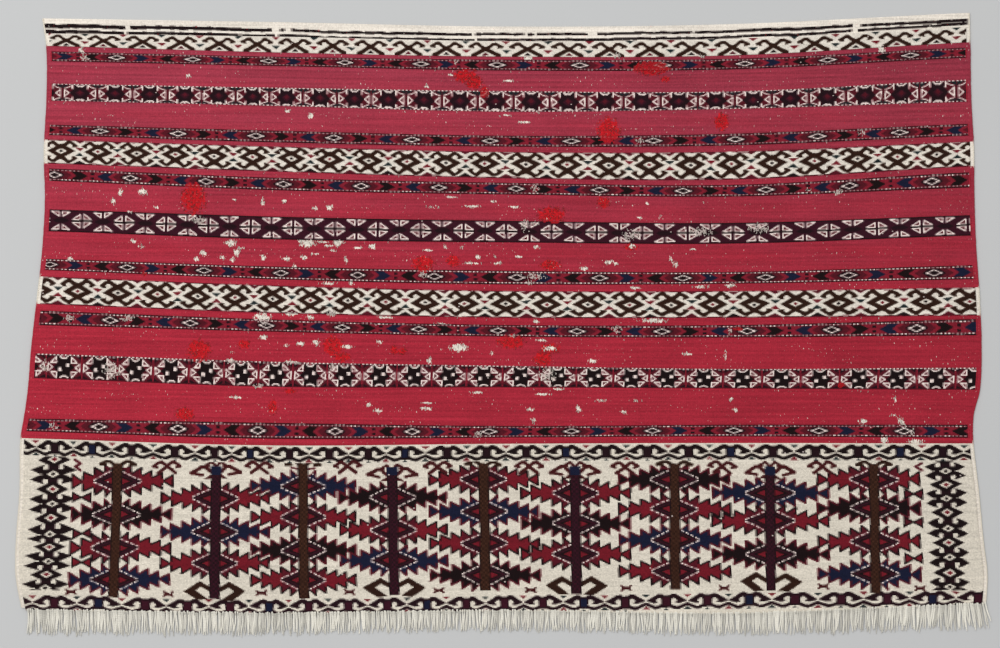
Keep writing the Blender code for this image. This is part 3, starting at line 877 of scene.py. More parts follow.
def age(shades, x, drop, seed):
    """Uneven dye from row to row, knots of slightly different wool, mends, and knots worn to the warp."""
    yarns = yarn_table()
    chance = np.random.RandomState(seed)
    rows = chance.normal(0, 1, x.shape[0])[:, None] * ROW_CHANGE
    rows = rows + cloud(x * 0.08, drop, 9.0, seed) * DRIFT_CHANGE
    single = chance.normal(0, KNOT_CHANGE, x.shape)
    aged = shades * np.clip(1 + rows + single, 0.6, 1.4)[..., None]
    mended = spots(x, drop, MENDS, seed + 1) > 0.12
    mottled = yarns[MEND_RED] * np.clip(1 + chance.normal(0, MEND_CHANGE, x.shape), 0.5, 1.5)[..., None]
    aged = np.where(mended[..., None], aged * 0.25 + mottled * 0.75, aged)
    worn = spots(x, drop, WORN_SPOTS, seed + 2) > chance.uniform(0.1, 1.2, x.shape)
    worn |= chance.uniform(0, 1, x.shape) < THIN_WEAR * (1 + cloud(x, drop, 60.0, seed + 3))
    return np.where(worn[..., None], aged * 0.35 + yarns[WHITE] * 0.6, aged)


def sample_places(first, last, rows, columns, span):
    """Places across, drops and parts of the height of two by two samples in each knot."""
    v = (np.arange(rows * 2) + 0.5) / (rows * 2)
    across = span[0] + (span[1] - span[0]) * (np.arange(columns * 2) + 0.5) / (columns * 2)
    x, drop = lay_out(between(first, last, v), across)
    return x, drop, np.broadcast_to(v[:, None], x.shape), across


def hem_shades(rows, columns):
    """The hem: cream, with two dark lines that waver and break."""
    first, last = CROSS_LINES["hem top"], CROSS_LINES["scroll band"]
    x, drop, _, across = sample_places(first, last, rows, columns, (0.0, 1.0))
    depth = drop - smooth_read(STATIONS, first, across)
    waver = 0.6 * cloud(x, x * 0.0, 90.0, 4) + 0.4 * cloud(x, x * 0.0, 21.0, 7)
    yarn = np.full(x.shape, CREAM)
    for line, breaks in zip(HEM_LINES, HEM_BREAKS):
        places = [row[0] for row in line]
        below = np.interp(x, places, [row[1] for row in line])
        half_width = np.interp(x, places, [row[2] for row in line]) * (1 + 0.2 * cloud(x, x * 0.0, 13.0, 8))
        on = (np.abs(depth - below - waver) < half_width) & (x > HEM_LINES_START) & (x < HEM_LINES_END)
        for middle, width in breaks:
            on &= np.abs(x - middle) > width / 2
        yarn[on] = BLACK
    return halve(yarn_table()[yarn])


def ground_shades(x, drop):
    """Red flat woven ground: faded near the hem and deeper to the right, with streaks along the weft."""
    yarns = yarn_table()
    deep = np.clip((drop - 60) / 330 + 0.12 * cloud(x * 0.15, drop, 24.0, 11), 0, 1)[..., None]
    right = 1.0 - 0.14 * (x + 600)[..., None] / 1200
    return (yarns[FADED_RED] * (1 - deep) + yarns[GROUND_RED] * deep) * right


def band_shades(name, rows, columns, span):
    """Shades of a band's knots."""
    names = list(CROSS_LINES)
    first, last = CROSS_LINES[name], CROSS_LINES[names[names.index(name) + 1]]
    x, drop, v, _ = sample_places(first, last, rows, columns, span)
    yarn, places, chart, facts = BANDS[name]
    band = Band(x + 0.5 * cloud(x, drop, 30.0, 5), v + 0.02 * cloud(x, drop, 26.0, 6),
                last[2] - first[2], places, yarn)
    chart(band, *facts)
    if yarn != CREAM:
        margin = np.minimum(x - side_x(drop, 1), side_x(drop, 2) - x)
        band.yarn[margin < BAND_MARGIN] = GROUND_RED
    return halve(yarn_table()[band.yarn])


def panel_edge():
    """Line of the panel's lower edge, whose pile hangs over the fringe's root."""
    return np.array(CROSS_LINES["fringe root"]) + np.array(PILE_OVERHANG)


def panel_shades(rows, columns, span):
    """Shades of the tree panel's knots."""
    first = CROSS_LINES["tree panel"]
    x, drop, _, across = sample_places(first, panel_edge(), rows, columns, span)
    depth = drop - smooth_read(STATIONS, first, across)
    waver_x = 0.7 * cloud(x, drop, 40.0, 8)
    waver_y = 0.8 * cloud(x, drop, 55.0, 9)
    yarn = panel_yarns(x + waver_x, drop + waver_y, depth)
    return halve(yarn_table()[yarn])


# Meshes of the woven pieces

def plan_points(x, drop, z):
    """Points in metres in the frame, from places in mm."""
    return np.stack([x * MM + SHIFT.x, SHIFT.y - drop * MM, z * MM], axis=-1).reshape(-1, 3)


def rim_of(grid):
    """Values around a grid's edge, down its left side first."""
    return np.concatenate([grid[:, 0], grid[-1, 1:], grid[-2::-1, -1], grid[0, -2:0:-1]])


def strip_map(rows, columns, strips):
    """Map for baking: corners of each face, with the long cloth cut into strips laid one above another."""
    row, column = np.meshgrid(np.arange(rows), np.arange(columns), indexing="ij")
    each = math.ceil(columns / strips)
    strip, place = column // each, column % each
    corners = []
    for down, right in ((0, 0), (1, 0), (1, 1), (0, 1)):
        u = 0.004 + 0.992 * (place + right) / each
        v = 0.06 + 0.94 * (strip + 0.02 + 0.96 * (1 - (row + down) / rows)) / strips
        corners.append(np.stack([u, v], axis=-1))
    return np.stack(corners, axis=2).reshape(-1, 2)


def knot_map(rows, columns):
    """Map that counts knots: one unit for each face along and down."""
    row, column = np.meshgrid(np.arange(rows), np.arange(columns), indexing="ij")
    corners = [np.stack([column + right, row + down], axis=-1)
               for down, right in ((0, 0), (1, 0), (1, 1), (0, 1))]
    return np.stack(corners, axis=2).reshape(-1, 2).astype(float)


def shade_corners(mesh, shades):
    """Shade of each face corner: every knot's own above, its neighbour's on the sides and the mean below."""
    rows, columns = shades.shape[:2]
    nearest = np.pad(np.arange(rows * columns).reshape(rows, columns), ((0, 1), (0, 1)), mode="edge")
    neighbours = rim_of(nearest)
    every = shades.reshape(-1, 3)
    colours = np.concatenate([np.repeat(every, 4, axis=0), np.repeat(every[neighbours], 4, axis=0),
                              np.repeat(every.mean(axis=0)[None], len(neighbours), axis=0)])
    shade = mesh.attributes.new("shade", "FLOAT_COLOR", "CORNER")
    shade.data.foreach_set("color", np.c_[colours, np.ones(len(colours))].ravel())


def lay_maps(mesh, rows, columns, low_points, strips):
    """Two maps of a woven piece: one for baking, without overlaps, and one that counts knots."""
    count = len(low_points)
    start = np.arange(count) / count
    side_map = np.stack([start, start, start + 1 / count, start + 1 / count], axis=-1)
    side_height = np.broadcast_to([0.02, 0.0, 0.0, 0.02], side_map.shape)
    side_map = np.stack([side_map, side_height], axis=-1).reshape(-1, 2)
    flat = low_points[::-1, :2]
    flat = (flat - flat.min(axis=0)) / (flat.max(axis=0) - flat.min(axis=0))
    bake = np.concatenate([strip_map(rows, columns, strips), side_map, flat * [1, 0.02] + [0, 0.03]])
    knots = np.concatenate([knot_map(rows, columns), side_map * [count, 0], flat * [columns, rows]])
    mesh.uv_layers.new(name="OFBake").data.foreach_set("uv", bake.ravel())
    mesh.uv_layers.new(name="knots").data.foreach_set("uv", knots.ravel())


def woven_mesh(name, x, drop, top, under, shades, strips):
    """Closed woven piece: a grid of knots above, its four sides and one face below."""
    grid = np.arange(x.size).reshape(x.shape)
    quads = np.stack([grid[:-1, :-1], grid[1:, :-1], grid[1:, 1:], grid[:-1, 1:]], axis=-1).reshape(-1, 4)
    rim = rim_of(grid)
    low_rim = x.size + np.arange(len(rim))
    low_points = plan_points(rim_of(x), rim_of(drop), np.full(len(rim), under))
    points = np.concatenate([plan_points(x, drop, top), low_points])
    sides = np.stack([rim, low_rim, np.roll(low_rim, -1), np.roll(rim, -1)], axis=-1)
    mesh = bpy.data.meshes.new(name)
    mesh.from_pydata(points.tolist(), [], quads.tolist() + sides.tolist() + [low_rim[::-1].tolist()])
    shade_corners(mesh, shades)
    lay_maps(mesh, x.shape[0] - 1, x.shape[1] - 1, low_points, strips)
    mesh.update()
    obj = bpy.data.objects.new(name, mesh)
    bpy.context.scene.collection.objects.link(obj)
    return obj


# Part of the cloth's width that the raised pieces cover, between the selvedges
PILE_SPAN = (0.0035, 0.9965)
# Height in mm where a raised piece is seated in the flat weave, and how far its rim is rounded down
PILE_SEAT = 0.9
RIM_DROP = 0.7


def cell_middles(grid):
    """Value in the middle of each cell of a grid."""
    return (grid[:-1, :-1] + grid[1:, 1:]) / 2


def pile_piece(name, first, last, thick, knot_width, knot_height, shade_rows, strips, seed):
    """Raised knotted piece between two lines of the cloth, seated in the flat weave."""
    sizes = bpy.context.scene.bag_cloth
    start, end = PILE_SPAN
    rows = max(6, round((last[2] - first[2]) * MM / knot_height))
    columns = round(CLOTH_WIDTH * MM * (end - start) / knot_width)
    across = np.linspace(start, end, columns + 1)
    x, drop = lay_out(between(first, last, np.linspace(0, 1, rows + 1)), across)
    shades = age(shade_rows(rows, columns, PILE_SPAN), cell_middles(x), cell_middles(drop), seed)
    chance = np.random.RandomState(seed)
    top = thick / MM + swell(x, drop) + chance.normal(0, sizes.pile_unevenness / MM / 2, x.shape)
    edge = np.ones(x.shape, bool)
    edge[1:-1, 1:-1] = False
    top[edge] = thick / MM - RIM_DROP + swell(x, drop)[edge]
    return woven_mesh(name, x, drop, top, PILE_SEAT, shades, strips)


# Height in mm of the flat weave's rows: in the hem, in the open ground and under the raised pieces
ROW_HEIGHTS = {"hem": 1.2, "ground": 2.2, "covered": 9.0}


def ground_rows():
    """Rows of the flat weave, and for each stretch between two lines its name and its count of rows."""
    names = list(CROSS_LINES)
    rows, stretches = [], []
    for name, after in zip(names, names[1:]):
        kind = "hem" if name == "hem top" else "ground" if name.startswith("red") else "covered"
        first, last = CROSS_LINES[name], CROSS_LINES[after]
        count = max(1, round((last[2] - first[2]) / ROW_HEIGHTS[kind]))
        rows += between(first, last, np.arange(count) / count)
        stretches.append((name, count))
    rows.append(np.array(CROSS_LINES[names[-1]], float))
    return rows, stretches


def ground_cells(x, drop, stretches, columns):
    """Shades of the flat weave's cells."""
    chance = np.random.RandomState(17)
    picks = chance.normal(0, 0.03, x.shape) + chance.normal(0, 0.035, x.shape[0])[:, None]
    shades = ground_shades(x, drop) * (1 + picks + 0.05 * cloud(x * 0.06, drop, 6.0, 15))[..., None]
    start = 0
    for name, count in stretches:
        if name == "hem top":
            shades[start:start + count] = hem_shades(count, columns)
        elif name == "scroll band" or name.startswith("cream") or name == "tree panel":
            shades[start:start + count] = yarn_table()[CREAM]
        start += count
    return shades


# Shader parts

def add(tree, kind, inputs=None, **settings):
    """New node with its settings, its input values and the sockets linked into it."""
    node = tree.nodes.new(kind)
    for name, value in settings.items():
        setattr(node, name, value)
    for key, value in (inputs or {}).items():
        if isinstance(value, bpy.types.NodeSocket):
            tree.links.new(value, node.inputs[key])
        else:
            node.inputs[key].default_value = value
    return node


def maths(tree, operation, first, second=None, third=None):
    """Output of a Math node."""
    inputs = {i: value for i, value in enumerate((first, second, third)) if value is not None}
    return add(tree, "ShaderNodeMath", inputs, operation=operation).outputs[0]


def combine(tree, x=0.0, y=0.0, z=0.0):
    """Output of a Combine XYZ node."""
    return add(tree, "ShaderNodeCombineXYZ", {0: x, 1: y, 2: z}).outputs[0]


def mix_shades(tree, part, first, second):
    """Output of a Mix node for colours."""
    return add(tree, "ShaderNodeMix", {0: part, 6: first, 7: second}, data_type="RGBA").outputs[2]


def new_group(name, inputs, outputs):
    """Empty shader node group with named sockets, and its input and output nodes."""
    group = bpy.data.node_groups.new(name, "ShaderNodeTree")
    for title, kind, value in inputs:
        socket = group.interface.new_socket(title, in_out="INPUT", socket_type=kind)
        if value is not None:
            socket.default_value = value
    for title, kind in outputs:
        group.interface.new_socket(title, in_out="OUTPUT", socket_type=kind)
    return group, group.nodes.new("NodeGroupInput"), group.nodes.new("NodeGroupOutput")


def wool_unevenness():
    """Group: yarn colour with streaks along the weft, blotches and single lighter fibres."""
    if "wool unevenness" in bpy.data.node_groups:
        return bpy.data.node_groups["wool unevenness"]
    group, enter, leave = new_group(
        "wool unevenness",
        (("Color", "NodeSocketColor", (1, 1, 1, 1)), ("Streaks", "NodeSocketFloat", 0.2),
         ("Blotches", "NodeSocketFloat", 0.1), ("Fibres", "NodeSocketFloat", 0.1)),
        (("Color", "NodeSocketColor"),))
    place = add(group, "ShaderNodeTexCoord").outputs["Object"]
    along = add(group, "ShaderNodeMapping", {"Vector": place, "Scale": (5.0, 330.0, 1.0)}).outputs[0]
    streak = add(group, "ShaderNodeTexNoise", {"Vector": along, "Scale": 1.0, "Detail": 3.0}).outputs["Fac"]
    blotch = add(group, "ShaderNodeTexNoise", {"Vector": place, "Scale": 11.0, "Detail": 4.0}).outputs["Fac"]
    fibre = add(group, "ShaderNodeTexNoise", {"Vector": place, "Scale": 480.0, "Detail": 3.0}).outputs["Fac"]
    total = 1.0
    for field, name in ((streak, "Streaks"), (blotch, "Blotches"), (fibre, "Fibres")):
        centred = maths(group, "MULTIPLY", maths(group, "SUBTRACT", field, 0.5), 2.0)
        total = maths(group, "MULTIPLY_ADD", centred, enter.outputs[name], total)
    shaded = add(group, "ShaderNodeHueSaturation", {"Color": enter.outputs["Color"], "Value": total})
    group.links.new(shaded.outputs[0], leave.inputs["Color"])
    return group


def wear_and_mends():
    """Group: yarn colour broken by ragged bare warps and by bright mends, where the fields say so."""
    if "wear and mends" in bpy.data.node_groups:
        return bpy.data.node_groups["wear and mends"]
    group, enter, leave = new_group(
        "wear and mends",
        (("Color", "NodeSocketColor", (1, 1, 1, 1)), ("Wear", "NodeSocketFloat", 0.0),
         ("Mend", "NodeSocketFloat", 0.0), ("Warp", "NodeSocketColor", (1, 1, 1, 1)),
         ("Mend wool", "NodeSocketColor", (1, 0, 0, 1))),
        (("Color", "NodeSocketColor"),))
    place = add(group, "ShaderNodeTexCoord").outputs["Object"]
    upright = add(group, "ShaderNodeMapping", {"Vector": place, "Scale": (620.0, 230.0, 1.0)}).outputs[0]
    ragged = add(group, "ShaderNodeTexNoise", {"Vector": upright, "Scale": 1.0, "Detail": 2.0}).outputs["Fac"]
    level = maths(group, "MULTIPLY_ADD", ragged, 1.4, enter.outputs["Wear"])
    bare = add(group, "ShaderNodeMapRange", {0: level, 1: 1.02, 2: 1.10}).outputs[0]
    tufted = add(group, "ShaderNodeTexNoise", {"Vector": place, "Scale": 420.0, "Detail": 3.0}).outputs["Fac"]
    level = maths(group, "MULTIPLY_ADD", tufted, 0.9, enter.outputs["Mend"])
    mended = add(group, "ShaderNodeMapRange", {0: level, 1: 0.62, 2: 0.78}).outputs[0]
    tone = maths(group, "MULTIPLY_ADD", tufted, 1.6, 0.2)
    bright = add(group, "ShaderNodeHueSaturation", {"Color": enter.outputs["Mend wool"], "Value": tone})
    shade = mix_shades(group, mended, enter.outputs["Color"], bright.outputs[0])
    shade = mix_shades(group, bare, shade, enter.outputs["Warp"])
    group.links.new(shade, leave.inputs["Color"])
    return group


def knot_relief():
    """Group: height of rounded knots, one for each unit of the knot map."""
    if "knot relief" in bpy.data.node_groups:
        return bpy.data.node_groups["knot relief"]
    group, enter, leave = new_group(
        "knot relief", (("Knots", "NodeSocketVector", None), ("Fuzz", "NodeSocketFloat", 0.3)),
        (("Height", "NodeSocketFloat"),))
    split = add(group, "ShaderNodeSeparateXYZ", {0: enter.outputs["Knots"]})
    domes = []
    for axis in ("X", "Y"):
        part = maths(group, "FRACT", split.outputs[axis])
        off = maths(group, "ABSOLUTE", maths(group, "MULTIPLY_ADD", part, 2.0, -1.0))
        domes.append(maths(group, "SUBTRACT", 1.0, maths(group, "POWER", off, 3.0)))
    dome = maths(group, "MULTIPLY", domes[0], domes[1])
    place = add(group, "ShaderNodeTexCoord").outputs["Object"]
    fuzz = add(group, "ShaderNodeTexNoise", {"Vector": place, "Scale": 2200.0, "Detail": 2.0}).outputs["Fac"]
    height = maths(group, "MULTIPLY_ADD", fuzz, enter.outputs["Fuzz"], dome)
    group.links.new(height, leave.inputs["Height"])
    return group


def weft_ribs():
    """Group: height of a weft faced weave, in metres of Object coordinates."""
    if "weft ribs" in bpy.data.node_groups:
        return bpy.data.node_groups["weft ribs"]
    group, enter, leave = new_group(
        "weft ribs",
        (("Warp spacing", "NodeSocketFloat", 0.0024), ("Weft spacing", "NodeSocketFloat", 0.0009)),
        (("Height", "NodeSocketFloat"),))
    split = add(group, "ShaderNodeSeparateXYZ", {0: add(group, "ShaderNodeTexCoord").outputs["Object"]})
    height = 0.5
    for axis, spacing, depth in (("X", "Warp spacing", 0.35), ("Y", "Weft spacing", 0.3)):
        threads = maths(group, "DIVIDE", split.outputs[axis], enter.outputs[spacing])
        wave = maths(group, "SINE", maths(group, "MULTIPLY", threads, math.tau))
        height = maths(group, "MULTIPLY_ADD", wave, depth, height)
    group.links.new(height, leave.inputs["Height"])
    return group


def new_material(name, roughness, sheen):
    """Material with its shader's own even values."""
    material = bpy.data.materials.new(name)
    material.use_nodes = True
    shader = material.node_tree.nodes["Principled BSDF"]
    shader.inputs["Roughness"].default_value = roughness
    shader.inputs["Sheen Weight"].default_value = sheen
    shader.inputs["Sheen Roughness"].default_value = 0.5
    shader.inputs["Specular IOR Level"].default_value = 0.12
    return material, material.node_tree, shader


def finish_wool(tree, shader, source, uneven, height, depth):
    """Colour through the wool group, and relief through a bump."""
    streaks, blotches, fibres = uneven
    wool = add(tree, "ShaderNodeGroup", node_tree=wool_unevenness())
    tree.links.new(source, wool.inputs["Color"])
    wool.inputs["Streaks"].default_value = streaks
    wool.inputs["Blotches"].default_value = blotches
    wool.inputs["Fibres"].default_value = fibres
    tree.links.new(wool.outputs["Color"], shader.inputs["Base Color"])
    bump = add(tree, "ShaderNodeBump", {"Height": height, "Distance": depth, "Strength": 0.8})
    tree.links.new(bump.outputs[0], shader.inputs["Normal"])


def knotted_wool():
    """Material of the knotted pile."""
    if "knotted wool" in bpy.data.materials:
        return bpy.data.materials["knotted wool"]
    material, tree, shader = new_material("knotted wool", 0.92, 0.03)
    shade = add(tree, "ShaderNodeAttribute", attribute_name="shade").outputs["Color"]
    knots = add(tree, "ShaderNodeUVMap", uv_map="knots").outputs[0]
    relief = add(tree, "ShaderNodeGroup", node_tree=knot_relief())
    tree.links.new(knots, relief.inputs["Knots"])
    relief.inputs["Fuzz"].default_value = 0.5
    finish_wool(tree, shader, shade, (0.08, 0.10, 0.22), relief.outputs["Height"], 0.0004)
    return material


def flat_wool():
    """Material of the flat woven ground and the hem."""
    if "flat woven wool" in bpy.data.materials:
        return bpy.data.materials["flat woven wool"]
    material, tree, shader = new_material("flat woven wool", 0.9, 0.05)
    yarns = bpy.context.scene.bag_yarns
    worn = add(tree, "ShaderNodeGroup", node_tree=wear_and_mends())
    for field, socket in (("shade", "Color"), ("wear", "Wear"), ("mend", "Mend")):
        source = add(tree, "ShaderNodeAttribute", attribute_name=field)
        tree.links.new(source.outputs["Color" if field == "shade" else "Fac"], worn.inputs[socket])
    worn.inputs["Warp"].default_value = (*yarns.cream, 1.0)
    worn.inputs["Mend wool"].default_value = (*yarns.mend_red, 1.0)
    ribs = add(tree, "ShaderNodeGroup", node_tree=weft_ribs())
    finish_wool(tree, shader, worn.outputs["Color"], (0.36, 0.22, 0.34), ribs.outputs["Height"], 0.00025)
    return material


def cloth_back():
    """Material of the cloth's back, with each stripe's mean colour laid by its drop."""
    material, tree, shader = new_material("cloth back", 0.9, 0.05)
    yarns = yarn_table()
    split = add(tree, "ShaderNodeSeparateXYZ", {0: add(tree, "ShaderNodeTexCoord").outputs["Object"]})
    drop = add(tree, "ShaderNodeMapRange",
               {0: split.outputs["Y"], 1: SHIFT.y, 2: SHIFT.y - CLOTH_HEIGHT * MM})
    ramp = add(tree, "ShaderNodeValToRGB", {0: drop.outputs[0]})
    ramp.color_ramp.interpolation = "CONSTANT"
    stops = ramp.color_ramp.elements
    for number, (name, drops) in enumerate(CROSS_LINES.items()):
        place = drops[2] / CLOTH_HEIGHT
        if name.startswith("red"):
            shade = yarns[GROUND_RED]
        elif name.startswith("thin"):
            shade = yarns[DEEP_RED]
        elif name in ("hook band", "diamond band", "star band"):
            shade = yarns[PLUM] * 0.6 + yarns[WHITE] * 0.25
        elif name == "hem top":
            shade = yarns[CREAM]
        else:
            shade = yarns[CREAM] * 0.6 + yarns[BROWN] * 0.4
        stop = stops[number] if number < 2 else stops.new(place)
        stop.position = place
        stop.color = (*shade, 1.0)
    ribs = add(tree, "ShaderNodeGroup", node_tree=weft_ribs())
    finish_wool(tree, shader, ramp.outputs[0], (0.30, 0.12, 0.22), ribs.outputs["Height"], 0.00025)
    return material


# Length of one turn of a yarn's two plies
PLY_TURN = 0.006


def spun_yarn(name, shade_from, even_shade, uneven):
    """Material of a loose yarn, with the twist of its two plies."""
    if name in bpy.data.materials:
        return bpy.data.materials[name]
    material, tree, shader = new_material(name, 0.9, 0.15)
    if shade_from:
        source = add(tree, "ShaderNodeAttribute", attribute_name=shade_from).outputs["Color"]
    else:
        tone = add(tree, "ShaderNodeAttribute", attribute_name="wander").outputs["Fac"]
        value = maths(tree, "MULTIPLY_ADD", tone, 0.42, 0.70)
        toned = add(tree, "ShaderNodeHueSaturation", {"Color": (*even_shade, 1.0), "Value": value})
        source = toned.outputs[0]
    ring = add(tree, "ShaderNodeAttribute", attribute_name="ring").outputs["Vector"]
    along = add(tree, "ShaderNodeAttribute", attribute_name="along").outputs["Fac"]
    turn = maths(tree, "MULTIPLY", along, math.tau / PLY_TURN)
    ply = combine(tree, maths(tree, "COSINE", turn), maths(tree, "SINE", turn))
    facing = add(tree, "ShaderNodeVectorMath", {0: ring, 1: ply}, operation="DOT_PRODUCT").outputs["Value"]
    finish_wool(tree, shader, source, uneven, maths(tree, "ABSOLUTE", facing), 0.0006)
    return material


def pale_floor():
    """Material of the plain pale floor."""
    material = bpy.data.materials.new("pale floor")
    material.use_nodes = True
    tree = material.node_tree
    shader = tree.nodes["Principled BSDF"]
    shader.inputs["Roughness"].default_value = 0.9
    cloudy = add(tree, "ShaderNodeTexNoise", {"Scale": 6.0, "Detail": 5.0}).outputs[0]
    shade = mix_shades(tree, cloudy, (0.52, 0.53, 0.53, 1.0), (0.60, 0.60, 0.60, 1.0))
    tree.links.new(shade, shader.inputs["Base Color"])
    return material


# Geometry Nodes

def node_tree(name, inputs):
    """Empty Geometry Nodes tree with named inputs, its end nodes and the inputs' identifiers."""
    tree = bpy.data.node_groups.new(name, "GeometryNodeTree")
    tree.interface.new_socket("Geometry", in_out="INPUT", socket_type="NodeSocketGeometry")
    identifiers = {}
    for title, kind in inputs:
        identifiers[title] = tree.interface.new_socket(title, in_out="INPUT", socket_type=kind).identifier
    tree.interface.new_socket("Geometry", in_out="OUTPUT", socket_type="NodeSocketGeometry")
    return tree, tree.nodes.new("NodeGroupInput"), tree.nodes.new("NodeGroupOutput"), identifiers


def chance_value(tree, low, high, seed):
    """Random float for each element."""
    node = add(tree, "FunctionNodeRandomValue", {2: low, 3: high, 8: seed}, data_type="FLOAT")
    return node.outputs[1]


def read_field(tree, name, kind="FLOAT"):
    """Output of a named field of the geometry."""
    return add(tree, "GeometryNodeInputNamedAttribute", {"Name": name}, data_type=kind).outputs[0]


def keep_field(tree, geometry, name, value, kind="FLOAT"):
    """Geometry with a named field stored on its points."""
    node = add(tree, "GeometryNodeStoreNamedAttribute", {"Geometry": geometry, "Name": name, "Value": value},
               data_type=kind, domain="POINT")
    return node.outputs[0]


def yarn_tube(tree, curve, sides, radius):
    """Closed tube along a curve, keeping how far along and around each point lies."""
    length_along = add(tree, "GeometryNodeSplineParameter").outputs["Length"]
    curve = keep_field(tree, curve, "along", length_along)
    curve = add(tree, "GeometryNodeSetCurveRadius", {"Curve": curve, "Radius": radius}).outputs[0]
    circle = add(tree, "GeometryNodeCurvePrimitiveCircle", {"Resolution": sides, "Radius": 1.0}).outputs[0]
    place = add(tree, "GeometryNodeInputPosition").outputs[0]
    circle = keep_field(tree, circle, "ring", place, "FLOAT_VECTOR")
    tube = add(tree, "GeometryNodeCurveToMesh", {"Curve": curve, "Profile Curve": circle, "Fill Caps": True})
    if "Scale" in tube.inputs:
        tree.links.new(add(tree, "GeometryNodeInputRadius").outputs[0], tube.inputs["Scale"])
    return tube.outputs[0]


def close_tree(tree, geometry, material, leave):
    """End of every tree: realized instances with their material."""
    real = add(tree, "GeometryNodeRealizeInstances", {"Geometry": geometry}).outputs[0]
    smooth = add(tree, "GeometryNodeSetShadeSmooth", {"Geometry": real}).outputs[0]
    done = add(tree, "GeometryNodeSetMaterial", {"Geometry": smooth, "Material": material}).outputs[0]
    tree.links.new(done, leave.inputs["Geometry"])


def strand_roots(tree, given):
    """Points along the line of roots, each with a number of its own and the sway of its clump."""
    line = add(tree, "GeometryNodeMeshToCurve", {"Mesh": given["Geometry"]}).outputs[0]
    spread = add(tree, "GeometryNodeCurveToPoints", {"Curve": line, "Count": given["Strands"]}, mode="COUNT")
    nudge = combine(tree, chance_value(tree, -0.0008, 0.0008, given["Seed"]),
                    chance_value(tree, -0.0012, 0.0016, given["Seed"]))
    roots = add(tree, "GeometryNodeSetPosition", {"Geometry": spread.outputs[0], "Offset": nudge}).outputs[0]
    roots = keep_field(tree, roots, "wander", chance_value(tree, 0.0, 1.0, given["Seed"]))
    place = add(tree, "GeometryNodeInputPosition").outputs[0]
    flow = add(tree, "ShaderNodeTexNoise", {"Vector": place, "Scale": 75.0, "Detail": 1.0}).outputs[0]
    return keep_field(tree, roots, "clump", maths(tree, "MULTIPLY_ADD", flow, 4.0, -2.0))


def straight_strands(tree, roots):
    """Straight strands from the roots, each as long as the fringe is there, a little more or less."""
    straight = add(tree, "GeometryNodeCurvePrimitiveLine", {"End": (0.0, -1.0, 0.0)}).outputs[0]
    straight = add(tree, "GeometryNodeResampleCurve", {"Curve": straight, "Count": 9}).outputs[0]
    reach = maths(tree, "MULTIPLY", read_field(tree, "reach"), chance_value(tree, 0.84, 1.10, 3))
    strands = add(tree, "GeometryNodeInstanceOnPoints",
                  {"Points": roots, "Instance": straight, "Scale": combine(tree, 1.0, reach, 1.0)}).outputs[0]
    return add(tree, "GeometryNodeRealizeInstances", {"Geometry": strands}).outputs[0]


def strand_bend(tree, given, t, wander):
    """Offset of a strand's points: sideways by its own bend, its clump and the fan, and up from the floor."""
    angle = maths(tree, "MULTIPLY", wander, 61.0)
    bend = maths(tree, "MULTIPLY", maths(tree, "SINE", angle), maths(tree, "POWER", t, 1.6))
    curl = maths(tree, "SINE", maths(tree, "MULTIPLY_ADD", t, 5.0, maths(tree, "MULTIPLY", wander, 97.0)))
    curl = maths(tree, "MULTIPLY", maths(tree, "MULTIPLY", curl, t), 0.35)
    bend = maths(tree, "MULTIPLY_ADD", read_field(tree, "clump"), t, maths(tree, "MULTIPLY", bend, 0.6))
    sway = maths(tree, "MULTIPLY", maths(tree, "ADD", bend, curl), given["Lean"])
    sway = maths(tree, "MULTIPLY_ADD", read_field(tree, "fan"), t, sway)
    fall = maths(tree, "POWER", maths(tree, "SUBTRACT", 1.0, t), 6.0)
    lift = maths(tree, "MULTIPLY_ADD", fall, given["Rise"], maths(tree, "MULTIPLY", wander, 0.0007))
    return combine(tree, sway, 0.0, maths(tree, "ADD", lift, given["Radius"]))


def fringe_tree():
    """Tree: warp strands hanging from a line, each with its own length, lean and thickness."""
    tree, enter, leave, identifiers = node_tree("warp fringe", (
        ("Strands", "NodeSocketInt"), ("Radius", "NodeSocketFloat"), ("Lean", "NodeSocketFloat"),
        ("Rise", "NodeSocketFloat"), ("Seed", "NodeSocketInt"), ("Material", "NodeSocketMaterial")))
    given = enter.outputs
    strands = straight_strands(tree, strand_roots(tree, given))
    t = add(tree, "GeometryNodeSplineParameter").outputs["Factor"]
    wander = read_field(tree, "wander")
    offset = strand_bend(tree, given, t, wander)
    strands = add(tree, "GeometryNodeSetPosition", {"Geometry": strands, "Offset": offset}).outputs[0]
    thin = maths(tree, "MULTIPLY_ADD", maths(tree, "POWER", t, 3.0), -0.5, 1.0)
    thick = maths(tree, "MULTIPLY", thin, maths(tree, "MULTIPLY_ADD", wander, 0.3, 0.82))
    radius = maths(tree, "MULTIPLY", thick, given["Radius"])
    close_tree(tree, yarn_tube(tree, strands, 5, radius), given["Material"], leave)
    return tree, identifiers


